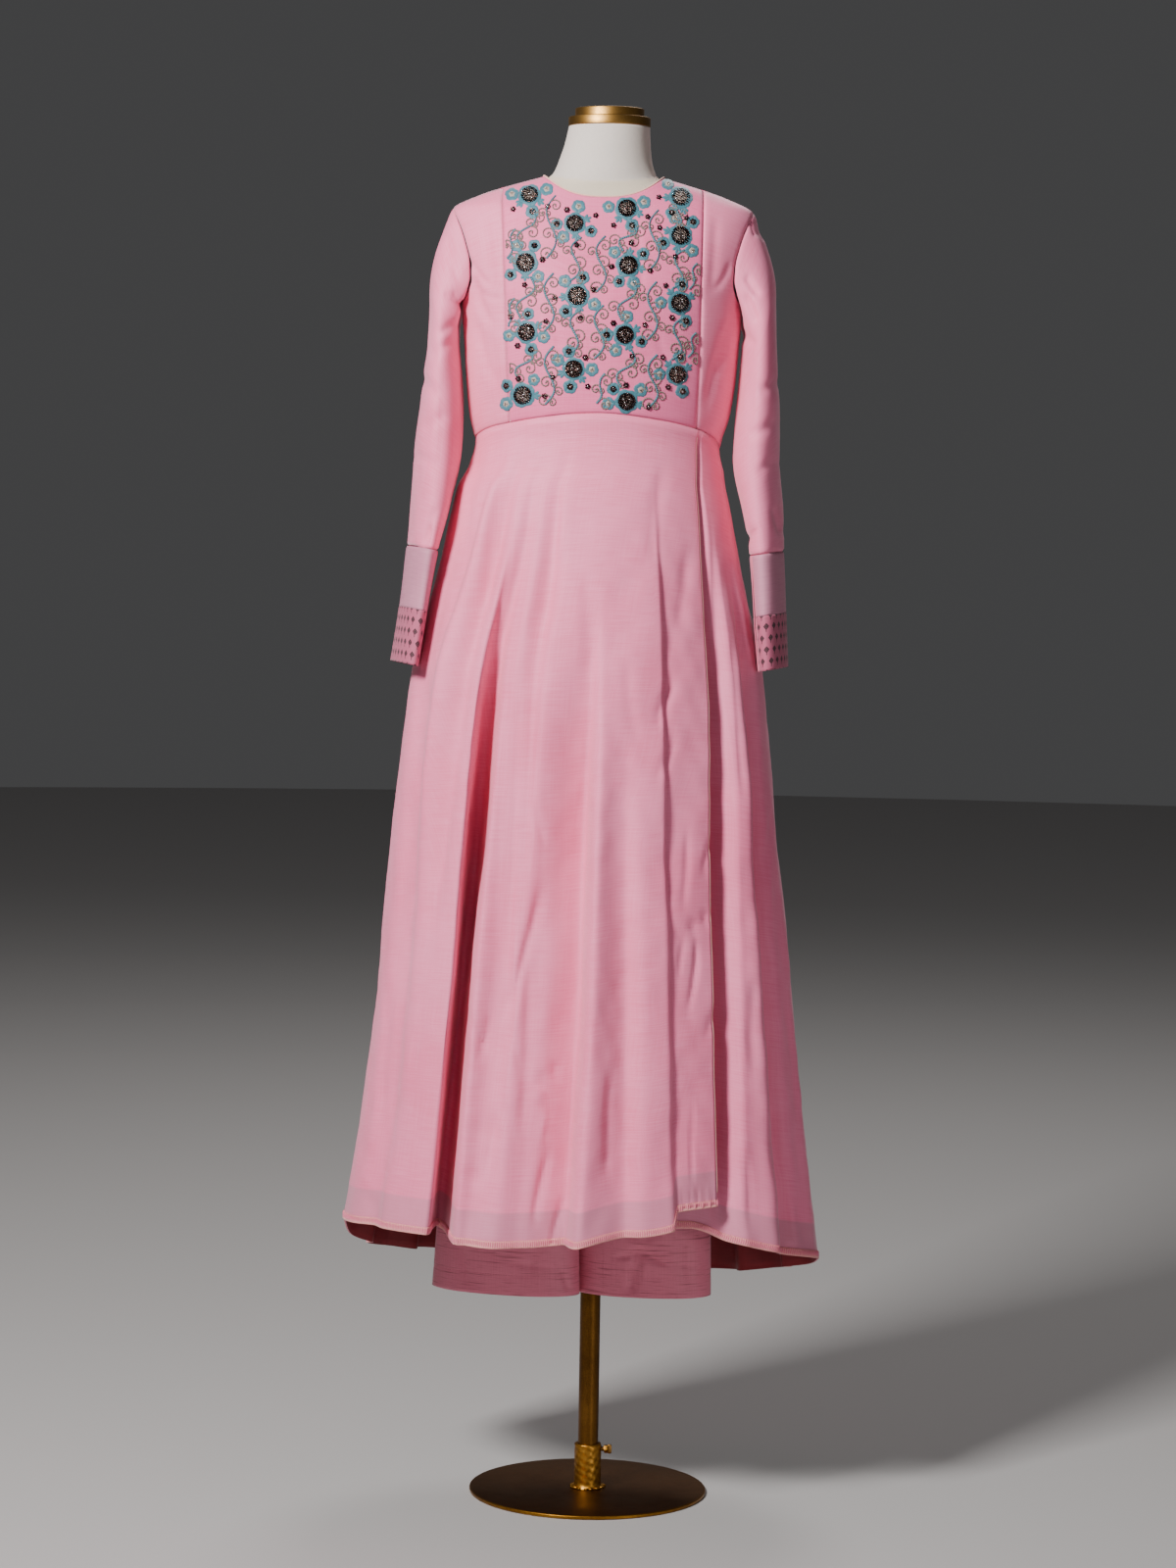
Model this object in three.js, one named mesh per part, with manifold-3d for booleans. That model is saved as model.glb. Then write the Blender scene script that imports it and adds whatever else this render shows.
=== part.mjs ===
// A kurti with pants, worn by a limbless dress form on a pole and a round base.
// Millimetres, +Z up. The origin is the middle of the base's underside, and the front faces -Y,
// so +X is on the viewer's right. "Left" and "right" below are the viewer's.
import * as THREE from 'three'
import { mergeVertices } from 'three/addons/utils/BufferGeometryUtils.js'
import Module from 'manifold-3d'

const wasm = await Module()
wasm.setup()

// Driving dimensions
const CLOTH = 1.6             // wall of the kurti's lined cotton silk
const PANTS_CLOTH = 1.4       // wall of the pants' raw silk
const SEAM = 0.3              // clear gap between pieces that are sewn together
const BASE_RADIUS = 149
const BASE_THICK = 5
const BASE_BEVEL = 1.2
const POLE_RADIUS = 12.7
const COLLAR_RADIUS = 16.8
const COLLAR_TOP = 61
const COLLAR_BORE = 13.2
const CLAMP_HEIGHT = 53.5
const SCREW_RADIUS = 3
const SCREW_HEAD = 5.6        // radius over the corners of the screw's six-sided head
const SCREW_OUT = 3.4         // how far the head stands off the collar
const FORM_BOTTOM = 990
const NECK_TOP = 1707
const TORSO_SIDES = 24
const CAP_LOW = { radius: 50.5, height: 11 }
const CAP_HIGH = { radius: 42.5, height: 11 }
const UNDERARM = 1487         // height of the armhole's lowest point
const SHOULDER_TIP = 1604     // height of the armhole's highest point
const NECK_SIDE = 1645        // height where the neckline crosses the shoulder seam
const NECK_REACH = 75         // half width of the neckline
const NECK_FRONT = 1616       // lowest point of the neckline in front
const NECK_BACK = 1632        // and behind
const HEM_TRIM = 9            // height of the ribbed trim on the skirt's hem
const TRIM_THICK = 1.1
const TRIM_LIFT = 0.5         // gap between a skirt panel and the trim that lies on it
const PIPING = 1.5            // radius of the neck and overlap piping
const NECK_STAND = 2.8        // height of the neck piping's middle above the cloth's edge
const YOKE_BOTTOM = 1345      // about where the yoke meets the waist seam
const ARMHOLE_GAP = 2.2       // how far outside the armhole's edge the sleeve starts
const HEAD_SHARE = 0.26       // how much of the sleeve it takes to settle into its hanging ovals

// The torso of the form by height: its middle, its half width, and its reach forward and back
const FORM = [
  { z: 990, middle: -6, side: 150, front: 98, back: 104 },
  { z: 1060, middle: -6, side: 158, front: 104, back: 112 },
  { z: 1150, middle: -6, side: 141, front: 98, back: 101 },
  { z: 1195, middle: -6, side: 132, front: 94, back: 91 },
  { z: 1235, middle: -6, side: 126, front: 92, back: 86 },
  { z: 1280, middle: -6, side: 133, front: 95, back: 86 },
  { z: 1335, middle: -6, side: 147, front: 102, back: 88 },
  { z: 1395, middle: -6, side: 157, front: 110, back: 93 },
  { z: 1450, middle: -6, side: 161, front: 114, back: 99 },
  { z: 1487, middle: -6, side: 164, front: 112, back: 103 },
  { z: 1520, middle: -6, side: 170, front: 107, back: 103 },
  { z: 1560, middle: -6, side: 178, front: 96, back: 95 },
  { z: 1590, middle: -6, side: 178, front: 82, back: 82 },
  { z: 1602, middle: -6, side: 168, front: 75, back: 76 },
  { z: 1615, middle: -6, side: 145, front: 67, back: 69 },
  { z: 1625, middle: -6, side: 117, front: 62, back: 65 },
  { z: 1639, middle: -6, side: 73, front: 59, back: 62 },
  { z: 1652, middle: -5, side: 62, front: 57, back: 61 },
  { z: 1667, middle: -4, side: 57, front: 54, back: 57 },
  { z: 1685, middle: -2, side: 53, front: 52, back: 54 },
  { z: 1707, middle: 0, side: 50, front: 50, back: 50 },
]

// The bodice by height. Above the shoulder tip its sides close in along the shoulder seam.
const BODICE = [
  { z: 1290, middle: -8, side: 149, front: 108, back: 95 },
  { z: 1322, middle: -8, side: 153, front: 111, back: 96 },
  { z: 1350, middle: -7, side: 161, front: 114, back: 98 },
  { z: 1395, middle: -6, side: 167, front: 119, back: 101 },
  { z: 1450, middle: -6, side: 171, front: 122, back: 107 },
  { z: 1487, middle: -6, side: 175, front: 120, back: 111 },
  { z: 1520, middle: -6, side: 184, front: 114, back: 111 },
  { z: 1560, middle: -6, side: 190, front: 104, back: 106 },
  { z: 1590, middle: -6, side: 191, front: 90, back: 96 },
  { z: 1604, middle: -6, side: 186, front: 83, back: 90 },
  { z: 1621.5, middle: -6, side: 152, front: 72, back: 80 },
  { z: 1631, middle: -6, side: 124, front: 68, back: 75 },
  { z: 1645, middle: -6, side: 75, front: 65, back: 69 },
]

// The armhole's edge: how far out it lies from the middle at each height
const ARMHOLE = [
  { z: 1487, out: 175 },
  { z: 1496, out: 168 },
  { z: 1515, out: 161 },
  { z: 1535, out: 162 },
  { z: 1560, out: 168 },
  { z: 1580, out: 175 },
  { z: 1595, out: 182 },
  { z: 1604, out: 186 },
]

// The yoke's side seams, by height
const YOKE_SEAM = [
  { z: 1340, left: -117, right: 113 },
  { z: 1424, left: -121, right: 115 },
  { z: 1640, left: -131, right: 117 },
]

// The skirt's outline by height, before its folds
const SKIRT = [
  { z: 1290, middle: -9.5, side: 157.5, front: 115, back: 103 },
  { z: 1322, middle: -8, side: 153, front: 111, back: 96 },
  { z: 1262, middle: -15, side: 167, front: 123, back: 113 },
  { z: 1180, middle: -15, side: 184, front: 140, back: 132 },
  { z: 1025, middle: -18, side: 220, front: 166, back: 156 },
  { z: 830, middle: -17, side: 240, front: 188, back: 180 },
  { z: 640, middle: -14, side: 259, front: 207, back: 198 },
  { z: 450, middle: -15, side: 281, front: 224, back: 214 },
  { z: 240, middle: -17, side: 312, front: 242, back: 230 },
].sort((a, b) => a.z - b.z)

// Where the waist seam and the hem lie, by angle round the body: 0 is the right side, 90 the
// front, 180 the left side and 270 the back
const WAIST_SEAM = [
  { angle: 0, z: 1312 },
  { angle: 40, z: 1336 },
  { angle: 90, z: 1353 },
  { angle: 140, z: 1338 },
  { angle: 180, z: 1322 },
  { angle: 230, z: 1316 },
  { angle: 270, z: 1316 },
  { angle: 315, z: 1314 },
  { angle: 360, z: 1312 },
]
const HEM_FRONT = [
  { angle: 53, z: 396 },
  { angle: 65.5, z: 392 },
  { angle: 67, z: 371 },
  { angle: 83, z: 360 },
  { angle: 97, z: 347 },
  { angle: 111, z: 345 },
  { angle: 123, z: 347 },
  { angle: 129, z: 356 },
  { angle: 143, z: 355 },
  { angle: 180, z: 344 },
]
const HEM_REST = [
  { angle: 0, z: 301 },
  { angle: 33, z: 330 },
  { angle: 47.5, z: 348 },
  { angle: 60, z: 369 },
  { angle: 75, z: 372 },
  { angle: 180, z: 344 },
  { angle: 200, z: 300 },
  { angle: 225, z: 278 },
  { angle: 270, z: 254 },
  { angle: 300, z: 250 },
  { angle: 335, z: 272 },
  { angle: 360, z: 301 },
]

// Folds run from waist to hem. Each has its angle at the waist, halfway and at the hem, its depth
// inward (a ridge is negative), its half width in degrees, and the span of the way down where it
// grows. One that fades does so from a share of the way down. A box fold has steep sides.
const fold = (name, [waist, mid, hem], depth, wide, [grow, full], { fade = 1, box = false } = {}) =>
  ({ name, waist, mid, hem, depth, wide, grow, full, fade, box })
const FOLDS_FRONT = [
  fold('side fold crease', [156, 152, 152], 9, 5, [0.1, 0.7]),
  fold('left gap', [130, 124.6, 125.6], 52, 2.6, [0.04, 0.52], { box: true }),
  fold('bust groove', [117, 117.4, 121], 9, 3.2, [0.02, 0.25], { fade: 0.42 }),
  fold('soft left groove', [104, 104, 105.3], 7, 4, [0.4, 0.75]),
  fold('centre groove', [86, 90, 94.2], 11, 3, [0.25, 0.6]),
  fold('centre ridge', [82, 86, 90], -6, 3, [0.25, 0.6]),
  fold('soft right groove', [78, 78, 79], 6, 4, [0.4, 0.8]),
]
const FOLDS_UNDER = [
  fold('gap beside the overlap', [33, 43.2, 50.5], 30, 2.6, [0.1, 0.4], { fade: 0.8, box: true }),
  fold('right ridge', [26, 34, 37], -7, 4, [0.15, 0.5]),
  fold('right groove', [20, 25.5, 28], 12, 3.4, [0.1, 0.4]),
  fold('right side ridge', [10, 12, 15], -6, 4, [0.3, 0.8]),
]
const FOLDS_BACK = [
  fold('left back fold 1', [196, 198, 200], 22, 4, [0.08, 0.6]),
  fold('left back fold 2', [216, 217, 219], 34, 4.2, [0.05, 0.55]),
  fold('left back fold 3', [238, 240, 242], 26, 4, [0.1, 0.6]),
  fold('left back fold 4', [256, 257, 258], 30, 3.8, [0.05, 0.5]),
  fold('right back fold 4', [283, 283, 281], 28, 3.8, [0.06, 0.55]),
  fold('right back fold 3', [301, 300, 298], 34, 4.2, [0.08, 0.5]),
  fold('right back fold 2', [320, 319, 318], 24, 4, [0.1, 0.6]),
  fold('right back fold 1', [341, 340, 340], 28, 4.2, [0.08, 0.6]),
]

const FADE_SPAN = 0.2         // how much of the way down a fold takes to fade

// The pressed fold beside the overlap: the strip between these two lines is set back
const STRIP = { waist: 61, mid: 65, hem: 66.3, back: 8, wide: 1.1, grow: 0.04, full: 0.3 }
const OVERLAP = { waist: 37.9, mid: 48.4, hem: 53.4 }
// How far the under panel runs on beneath the overlap, and how far behind it there. The step down
// starts a margin before the overlap's edge and takes some degrees, few at the waist.
const TUCKED = { degrees: 13, topGap: 3.6, lowGap: 24, full: 0.35, topBlend: 1.2, blend: 5, margin: 2.6 }

// Sleeves by height: middle of the tube, thin half width, deep half width, and the turn in degrees
// that carries its front edge towards the body
const SLEEVE_LEFT = [
  { z: 1620, x: -204, y: 2, thin: 16, deep: 58, turn: 0 },
  { z: 1560, x: -204, y: 2, thin: 16, deep: 62, turn: 0 },
  { z: 1480, x: -202, y: 2, thin: 18, deep: 66, turn: 0 },
  { z: 1395, x: -201.5, y: 0, thin: 24.5, deep: 70, turn: 0 },
  { z: 1307, x: -206, y: -4, thin: 29, deep: 69, turn: 4 },
  { z: 1240, x: -214, y: -12, thin: 24, deep: 64, turn: 9 },
  { z: 1188, x: -223, y: -20, thin: 17.5, deep: 57, turn: 13 },
  { z: 1115, x: -233, y: -30, thin: 13.5, deep: 52, turn: 15 },
  { z: 1035, x: -244, y: -36, thin: 13, deep: 51, turn: 16 },
].sort((a, b) => a.z - b.z)
const SLEEVE_RIGHT = [
  { z: 1620, x: 193, y: 2, thin: 16, deep: 58, turn: 0 },
  { z: 1560, x: 192, y: 2, thin: 17, deep: 62, turn: 0 },
  { z: 1480, x: 191, y: 2, thin: 20, deep: 67, turn: 0 },
  { z: 1395, x: 190, y: 0, thin: 25, deep: 70, turn: 0 },
  { z: 1307, x: 189, y: -3, thin: 29.5, deep: 69, turn: -3 },
  { z: 1240, x: 197, y: -10, thin: 25, deep: 64, turn: -7 },
  { z: 1188, x: 203, y: -16, thin: 21, deep: 58, turn: -9 },
  { z: 1115, x: 208, y: -24, thin: 19, deep: 54, turn: -10 },
  { z: 1035, x: 214, y: -28, thin: 17, deep: 53, turn: -11 },
].sort((a, b) => a.z - b.z)
const SLEEVE_END = 1188
const CUFF_END = 1113
const BAND_END = 1046
const CUFF_DROP = 6           // how much lower these edges lie on the side towards the body
// The slit of each cuff: its angle round the sleeve (0 outside, 90 front, 180 inside) and half
// its width in degrees at the top, at the band's seam and at the bottom
const SLIT_LEFT = { at: 150, top: 1.2, seam: 2, end: 2.6 }
const SLIT_RIGHT = { at: 138, top: 2, seam: 9, end: 6 }

// Pants: the hips by height, then each leg from the crotch to its hem
const PANTS_TOP = 1234
const WAISTBAND = 37
const WAISTBAND_THICK = 2
const HIPS_END = 980
const LEGS_START = 905
const PANTS_HEM = 257
const HIPS = [
  { z: 905, middle: -6, side: 163, front: 110, back: 117 },
  { z: 1060, middle: -6, side: 162.5, front: 108.5, back: 116.5 },
  { z: 1150, middle: -6, side: 145, front: 102, back: 105 },
  { z: 1197, middle: -6, side: 134.4, front: 96.6, back: 93.4 },
]
const LEG_LEFT = [
  { z: 257, x: -107, y: -4, wide: 83.5, deep: 50, lean: 40 },
  { z: 600, x: -102, y: -2, wide: 78.5, deep: 64, lean: 22 },
  { z: 1000, x: -97, y: 2, wide: 73.5, deep: 88, lean: 0 },
]
const LEG_RIGHT = [
  { z: 257, x: 63.5, y: -4, wide: 84.5, deep: 50, lean: 20 },
  { z: 600, x: 65, y: -2, wide: 86, deep: 64, lean: 12 },
  { z: 1000, x: 68, y: 2, wide: 89, deep: 88, lean: 0 },
]

// Number helpers
const RAD = Math.PI / 180
const lerp = (a, b, t) => a + (b - a) * t
const smooth = (t) => { const c = Math.min(1, Math.max(0, t)); return c * c * (3 - 2 * c) }

// Reads a column of a table at a place between its rows, on a smooth line that never overshoots
function read (table, key, column, at) {
  const last = table.length - 1
  if (at <= table[0][key]) return table[0][column]
  if (at >= table[last][key]) return table[last][column]
  let i = 0
  while (table[i + 1][key] < at) i++
  const rise = (k) => (table[k + 1][column] - table[k][column]) / (table[k + 1][key] - table[k][key])
  const slope = (k) => {
    if (k <= 0) return rise(0)
    if (k >= last) return rise(last - 1)
    const before = rise(k - 1)
    const after = rise(k)
    return before * after <= 0 ? 0 : 2 * before * after / (before + after)
  }
  const step = table[i + 1][key] - table[i][key]
  const t = (at - table[i][key]) / step
  const p0 = table[i][column]
  const p1 = table[i + 1][column]
  return p0 * (1 + 2 * t) * (1 - t) ** 2 + p1 * t * t * (3 - 2 * t) +
    step * (slope(i) * t * (1 - t) ** 2 - slope(i + 1) * t * t * (1 - t))
}

// A line that bends once: its values at the waist, halfway and at the hem
const lineAt = (line, t) => {
  const a = line.waist
  const b = line.mid
  const c = line.hem
  return a * (1 - t) * (1 - 2 * t) + b * 4 * t * (1 - t) + c * t * (2 * t - 1)
}

const steps = (from, to, count) => Array.from({ length: count + 1 }, (_, i) => lerp(from, to, i / count))

// Mesh helpers
const group = new THREE.Group()

function addMesh (name, geometry, look) {
  const material = new THREE.MeshStandardMaterial({
    color: look.color, roughness: look.roughness, metalness: look.metalness ?? 0,
  })
  const mesh = new THREE.Mesh(geometry, material)
  mesh.name = name
  group.add(mesh)
  return mesh
}

function geometryFrom (points, triangles) {
  const geometry = new THREE.BufferGeometry()
  const numbers = points.flatMap((p) => [p.x, p.y, p.z])
  geometry.setAttribute('position', new THREE.Float32BufferAttribute(numbers, 3))
  geometry.setIndex(triangles)
  geometry.computeVertexNormals()
  return geometry
}

// The surface's outward direction at a place, from short steps both ways
function normalOf (surface, a, b, stepA, stepB) {
  const alongA = surface(a + stepA, b).sub(surface(a - stepA, b))
  const alongB = surface(a, b + stepB).sub(surface(a, b - stepB))
  return alongA.cross(alongB).normalize()
}

// A closed wall between an outer and an inner grid of points: rows[j][i], j going down, i across
function wall (outer, inner, closed = false) {
  const down = outer.length
  const across = outer[0].length
  const points = [...outer.flat(), ...inner.flat()]
  const triangles = []
  const id = (side, j, i) => side * down * across + j * across + (i % across)
  const quad = (a, b, c, d) => triangles.push(a, b, c, a, c, d)
  const cells = closed ? across : across - 1
  for (let j = 0; j < down - 1; j++) {
    for (let i = 0; i < cells; i++) {
      quad(id(0, j, i), id(0, j, i + 1), id(0, j + 1, i + 1), id(0, j + 1, i))
      quad(id(1, j, i), id(1, j + 1, i), id(1, j + 1, i + 1), id(1, j, i + 1))
    }
    if (!closed) {
      quad(id(0, j, 0), id(0, j + 1, 0), id(1, j + 1, 0), id(1, j, 0))
      quad(id(0, j, across - 1), id(1, j, across - 1), id(1, j + 1, across - 1), id(0, j + 1, across - 1))
    }
  }
  for (let i = 0; i < cells; i++) {
    quad(id(0, 0, i), id(1, 0, i), id(1, 0, i + 1), id(0, 0, i + 1))
    quad(id(0, down - 1, i), id(0, down - 1, i + 1), id(1, down - 1, i + 1), id(1, down - 1, i))
  }
  return geometryFrom(points, triangles)
}

// A wall on a surface(a, b): lift is how far its outer face stands off the surface. The wall may
// turn either way round, so the last value says which side of the grid is out.
function clothWall (surface, normal, grid, { thick = CLOTH, lift = 0, closed = false, flip = false } = {}) {
  const raised = (by) => ([a, b]) => surface(a, b).addScaledVector(normal(a, b), by)
  const outer = grid.map((row) => row.map(raised(lift)))
  const inner = grid.map((row) => row.map(raised(lift - thick)))
  if (flip) {
    for (const row of [...outer, ...inner]) row.reverse()
  }
  return wall(outer, inner, closed)
}

// A round cord that bends at the same points as the edge it follows. Each point has the direction
// that is up there, so the cord doesn't twist. It has flat ends, or closes into a loop.
function cord (path, radius, sides, closed) {
  const count = path.length
  const rings = path.map(({ point }, i) => {
    const before = path[closed ? (i + count - 1) % count : Math.max(0, i - 1)].point
    const after = path[closed ? (i + 1) % count : Math.min(count - 1, i + 1)].point
    const along = after.clone().sub(before).normalize()
    const across = new THREE.Vector3().crossVectors(along, path[i].up).normalize()
    const up = new THREE.Vector3().crossVectors(across, along)
    return Array.from({ length: sides }, (_, k) => {
      const turn = k / sides * 2 * Math.PI
      const sideways = point.clone().addScaledVector(across, radius * Math.cos(turn))
      return sideways.addScaledVector(up, radius * Math.sin(turn))
    })
  })
  const triangles = []
  const id = (j, i) => (j % count) * sides + i % sides
  for (let j = 0; j < (closed ? count : count - 1); j++) {
    for (let i = 0; i < sides; i++) {
      triangles.push(id(j, i), id(j + 1, i + 1), id(j, i + 1), id(j, i), id(j + 1, i), id(j + 1, i + 1))
    }
  }
  if (!closed) {
    for (let i = 1; i < sides - 1; i++) {
      const end = count - 1
      triangles.push(id(0, 0), id(0, i), id(0, i + 1), id(end, 0), id(end, i + 1), id(end, i))
    }
  }
  return geometryFrom(rings.flat(), triangles)
}

// A round solid about the pole from a profile of [radius, height]
function turned (profile, sides) {
  const lathe = new THREE.LatheGeometry(profile.map(([r, z]) => new THREE.Vector2(r, z)), sides)
  lathe.rotateX(Math.PI / 2)
  return lathe
}

function solidOf (geometry) {
  const bare = geometry.clone()
  bare.deleteAttribute('normal')
  bare.deleteAttribute('uv')
  const merged = mergeVertices(bare, 1e-4)
  return new wasm.Manifold(new wasm.Mesh({
    numProp: 3,
    vertProperties: new Float32Array(merged.attributes.position.array),
    triVerts: new Uint32Array(merged.index.array),
  }))
}

function geometryOf (solid) {
  const mesh = solid.getMesh()
  const geometry = new THREE.BufferGeometry()
  geometry.setAttribute('position', new THREE.Float32BufferAttribute(mesh.vertProperties, 3))
  geometry.setIndex(Array.from(mesh.triVerts))
  geometry.computeVertexNormals()
  return geometry
}

// Looks
const PINK = { color: 0xd894ac, roughness: 0.55 }
const YOKE_PINK = { color: 0xd685a2, roughness: 0.55 }
const CUFF_PINK = { color: 0xc595a8, roughness: 0.6 }
const PRINT_PINK = { color: 0xb98a9c, roughness: 0.65 }
const TRIM_PINK = { color: 0xe3c0b8, roughness: 0.7 }
const SILK_PINK = { color: 0xd68ca6, roughness: 0.45 }
const COTTON = { color: 0xd8d0c8, roughness: 0.85 }
const BRASS = { color: 0xa87432, roughness: 0.4, metalness: 1 }
const BRUSHED = { color: 0xb08a4e, roughness: 0.35, metalness: 1 }
const BRONZE = { color: 0x6a4a26, roughness: 0.5, metalness: 1 }

// An oval section through a body at a height: the angle goes round as the tables say
function bodyPoint (table, angle, z) {
  const s = Math.sin(angle * RAD)
  return new THREE.Vector3(
    read(table, 'z', 'middle', z) + read(table, 'z', 'side', z) * Math.cos(angle * RAD),
    s >= 0 ? -read(table, 'z', 'front', z) * s : -read(table, 'z', 'back', z) * s,
    z,
  )
}

// Its outward direction, which stays well defined along the shoulder seam too
function bodyNormal (table, angle, z) {
  const deep = Math.sin(angle * RAD) >= 0 ? 'front' : 'back'
  const p = bodyPoint(table, angle, z)
  const h = 0.5
  const side = read(table, 'z', 'side', z)
  const depth = read(table, 'z', deep, z)
  const sideGrow = (read(table, 'z', 'side', z + h) - read(table, 'z', 'side', z - h)) / (2 * h)
  const deepGrow = (read(table, 'z', deep, z + h) - read(table, 'z', deep, z - h)) / (2 * h)
  const x = p.x - read(table, 'z', 'middle', z)
  return new THREE.Vector3(
    x / side ** 2, p.y / depth ** 2, -(x * x * sideGrow / side ** 3 + p.y * p.y * deepGrow / depth ** 3),
  ).normalize()
}

// Stand: base disc, collar, clamp screw, pole, torso and neck cap
function addStand () {
  addMesh('base_disc', turned([
    [0, 0], [BASE_RADIUS - BASE_BEVEL, 0], [BASE_RADIUS, BASE_BEVEL], [BASE_RADIUS, BASE_THICK - BASE_BEVEL],
    [BASE_RADIUS - BASE_BEVEL, BASE_THICK], [0, BASE_THICK],
  ], 64), BRONZE)

  const foot = BASE_THICK + SEAM
  const collar = solidOf(turned([
    [COLLAR_BORE, foot], [COLLAR_RADIUS + 3.2, foot], [COLLAR_RADIUS + 0.8, foot + 3],
    [COLLAR_RADIUS, foot + 7], [COLLAR_RADIUS, COLLAR_TOP - 1], [COLLAR_RADIUS - 1, COLLAR_TOP],
    [COLLAR_BORE, COLLAR_TOP], [COLLAR_BORE, foot],
  ], 32))
  const holeRadius = SCREW_RADIUS + 0.4
  const hole = new THREE.CylinderGeometry(holeRadius, holeRadius, 10, 16)
  hole.rotateZ(Math.PI / 2).translate(COLLAR_RADIUS, 0, CLAMP_HEIGHT)
  addMesh('pole_collar', geometryOf(collar.subtract(solidOf(hole))), BRASS)

  const tip = POLE_RADIUS + SEAM
  const headAt = COLLAR_RADIUS + SCREW_OUT
  const shank = new THREE.CylinderGeometry(SCREW_RADIUS, SCREW_RADIUS, headAt + 1 - tip, 16)
  shank.rotateZ(Math.PI / 2).translate((tip + headAt + 1) / 2, 0, CLAMP_HEIGHT)
  const head = new THREE.CylinderGeometry(SCREW_HEAD, SCREW_HEAD, 5, 6)
  head.rotateZ(Math.PI / 2).translate(headAt + 2.5, 0, CLAMP_HEIGHT)
  const grip = new THREE.BoxGeometry(5.5, 2.6, 12)
  grip.translate(headAt + 7, 0, CLAMP_HEIGHT)
  addMesh('clamp_screw', geometryOf(solidOf(shank).add(solidOf(head)).add(solidOf(grip))), BRUSHED)

  const pole = new THREE.CylinderGeometry(POLE_RADIUS, POLE_RADIUS, FORM_BOTTOM - SEAM - foot, 32)
  pole.rotateX(Math.PI / 2).translate(0, 0, (foot + FORM_BOTTOM - SEAM) / 2)
  addMesh('pole', pole, BRASS)

  addMesh('form_torso', torso(), COTTON)

  const low = NECK_TOP + SEAM
  const mid = low + CAP_LOW.height
  const top = mid + CAP_HIGH.height
  const lip = 1.2
  addMesh('neck_cap', turned([
    [0, low], [CAP_LOW.radius - lip, low], [CAP_LOW.radius, low + lip], [CAP_LOW.radius, mid - lip],
    [CAP_LOW.radius - lip, mid], [CAP_HIGH.radius, mid + 0.6], [CAP_HIGH.radius, top - lip],
    [CAP_HIGH.radius - lip, top], [0, top + 1],
  ], 36), BRUSHED)
}

// The torso is one closed solid, through ovals at each height of its table
function torso () {
  const around = TORSO_SIDES
  const angles = steps(0, 360, around).slice(0, -1)
  const rings = FORM.map(({ z }) => angles.map((angle) => bodyPoint(FORM, angle, z)))
  const points = rings.flat()
  const triangles = []
  const id = (j, i) => j * around + i % around
  for (let j = 0; j < rings.length - 1; j++) {
    for (let i = 0; i < around; i++) {
      triangles.push(id(j, i), id(j + 1, i), id(j + 1, i + 1), id(j, i), id(j + 1, i + 1), id(j, i + 1))
    }
  }
  const end = rings.length - 1
  const bottom = points.push(new THREE.Vector3(FORM[0].middle, 0, FORM[0].z)) - 1
  const top = points.push(new THREE.Vector3(FORM[end].middle, 0, FORM[end].z)) - 1
  for (let i = 0; i < around; i++) {
    triangles.push(bottom, id(0, i), id(0, i + 1), top, id(end, i + 1), id(end, i))
  }
  return geometryFrom(points, triangles)
}

// Bodice: every piece is a patch in angle and height, between its four edges
const yokeAngle = (side, z, shift) => {
  const x = read(YOKE_SEAM, 'z', side, z) + shift - read(BODICE, 'z', 'middle', z)
  const ratio = Math.min(1, Math.max(-1, x / read(BODICE, 'z', 'side', z)))
  return Math.acos(ratio) / RAD
}
const waistSeam = (angle) => read(WAIST_SEAM, 'angle', 'z', angle)

// The height where the shoulder seam is a given distance out from the middle
function shoulderHeight (out) {
  let low = SHOULDER_TIP
  let high = NECK_SIDE
  for (let i = 0; i < 30; i++) {
    const z = (low + high) / 2
    if (read(BODICE, 'z', 'side', z) > out) low = z
    else high = z
  }
  return low
}

// The neckline, from the left shoulder seam round the front (or back) to the right one, t 0 to 1
function necklineAt (t, lowest) {
  const across = -Math.cos(t * Math.PI)
  const z = lerp(lowest, NECK_SIDE, Math.abs(across) ** 2.6)
  const ratio = Math.max(-1, Math.min(1, NECK_REACH * across / read(BODICE, 'z', 'side', z)))
  return [Math.acos(ratio) / RAD, z]
}

// The outer edge of a bodice piece: up the side seam, then round the armhole to the shoulder tip.
// side is 180 on the left and 0 on the right; front pieces turn to smaller depth angles.
function armholeAngle (z, side, front) {
  const ratio = Math.min(1, read(ARMHOLE, 'z', 'out', z) / read(BODICE, 'z', 'side', z))
  const turn = Math.acos(ratio) / RAD
  if (side === 180) return front ? 180 - turn : 180 + turn
  return front ? turn : 360 - turn
}
const BODICE_ROWS = [0, 0.13, 0.26, 0.39, 0.5, 0.6, 0.7, 0.79, 0.87, 0.93, 0.97, 1]
const UNDERARM_ROW = 0.5

function outerEdge (row, side, front) {
  const start = waistSeam(side === 0 && !front ? 360 : side)
  if (row <= UNDERARM_ROW) {
    return [side === 0 && !front ? 360 : side, lerp(start, UNDERARM, row / UNDERARM_ROW)]
  }
  const z = lerp(UNDERARM, SHOULDER_TIP, (row - UNDERARM_ROW) / (1 - UNDERARM_ROW))
  return [armholeAngle(z, side, front), z]
}

// Fills the space between four edges: left(row), right(row), bottom(t), top(t)
function patch (left, right, bottom, top, rows, across) {
  return rows.slice().reverse().map((row) => across.map((t) => {
    const mix = [0, 1].map((k) => lerp(left(row)[k], right(row)[k], t) + lerp(bottom(t)[k], top(t)[k], row) -
      lerp(lerp(left(0)[k], right(0)[k], t), lerp(left(1)[k], right(1)[k], t), row))
    return mix
  }))
}

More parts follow.
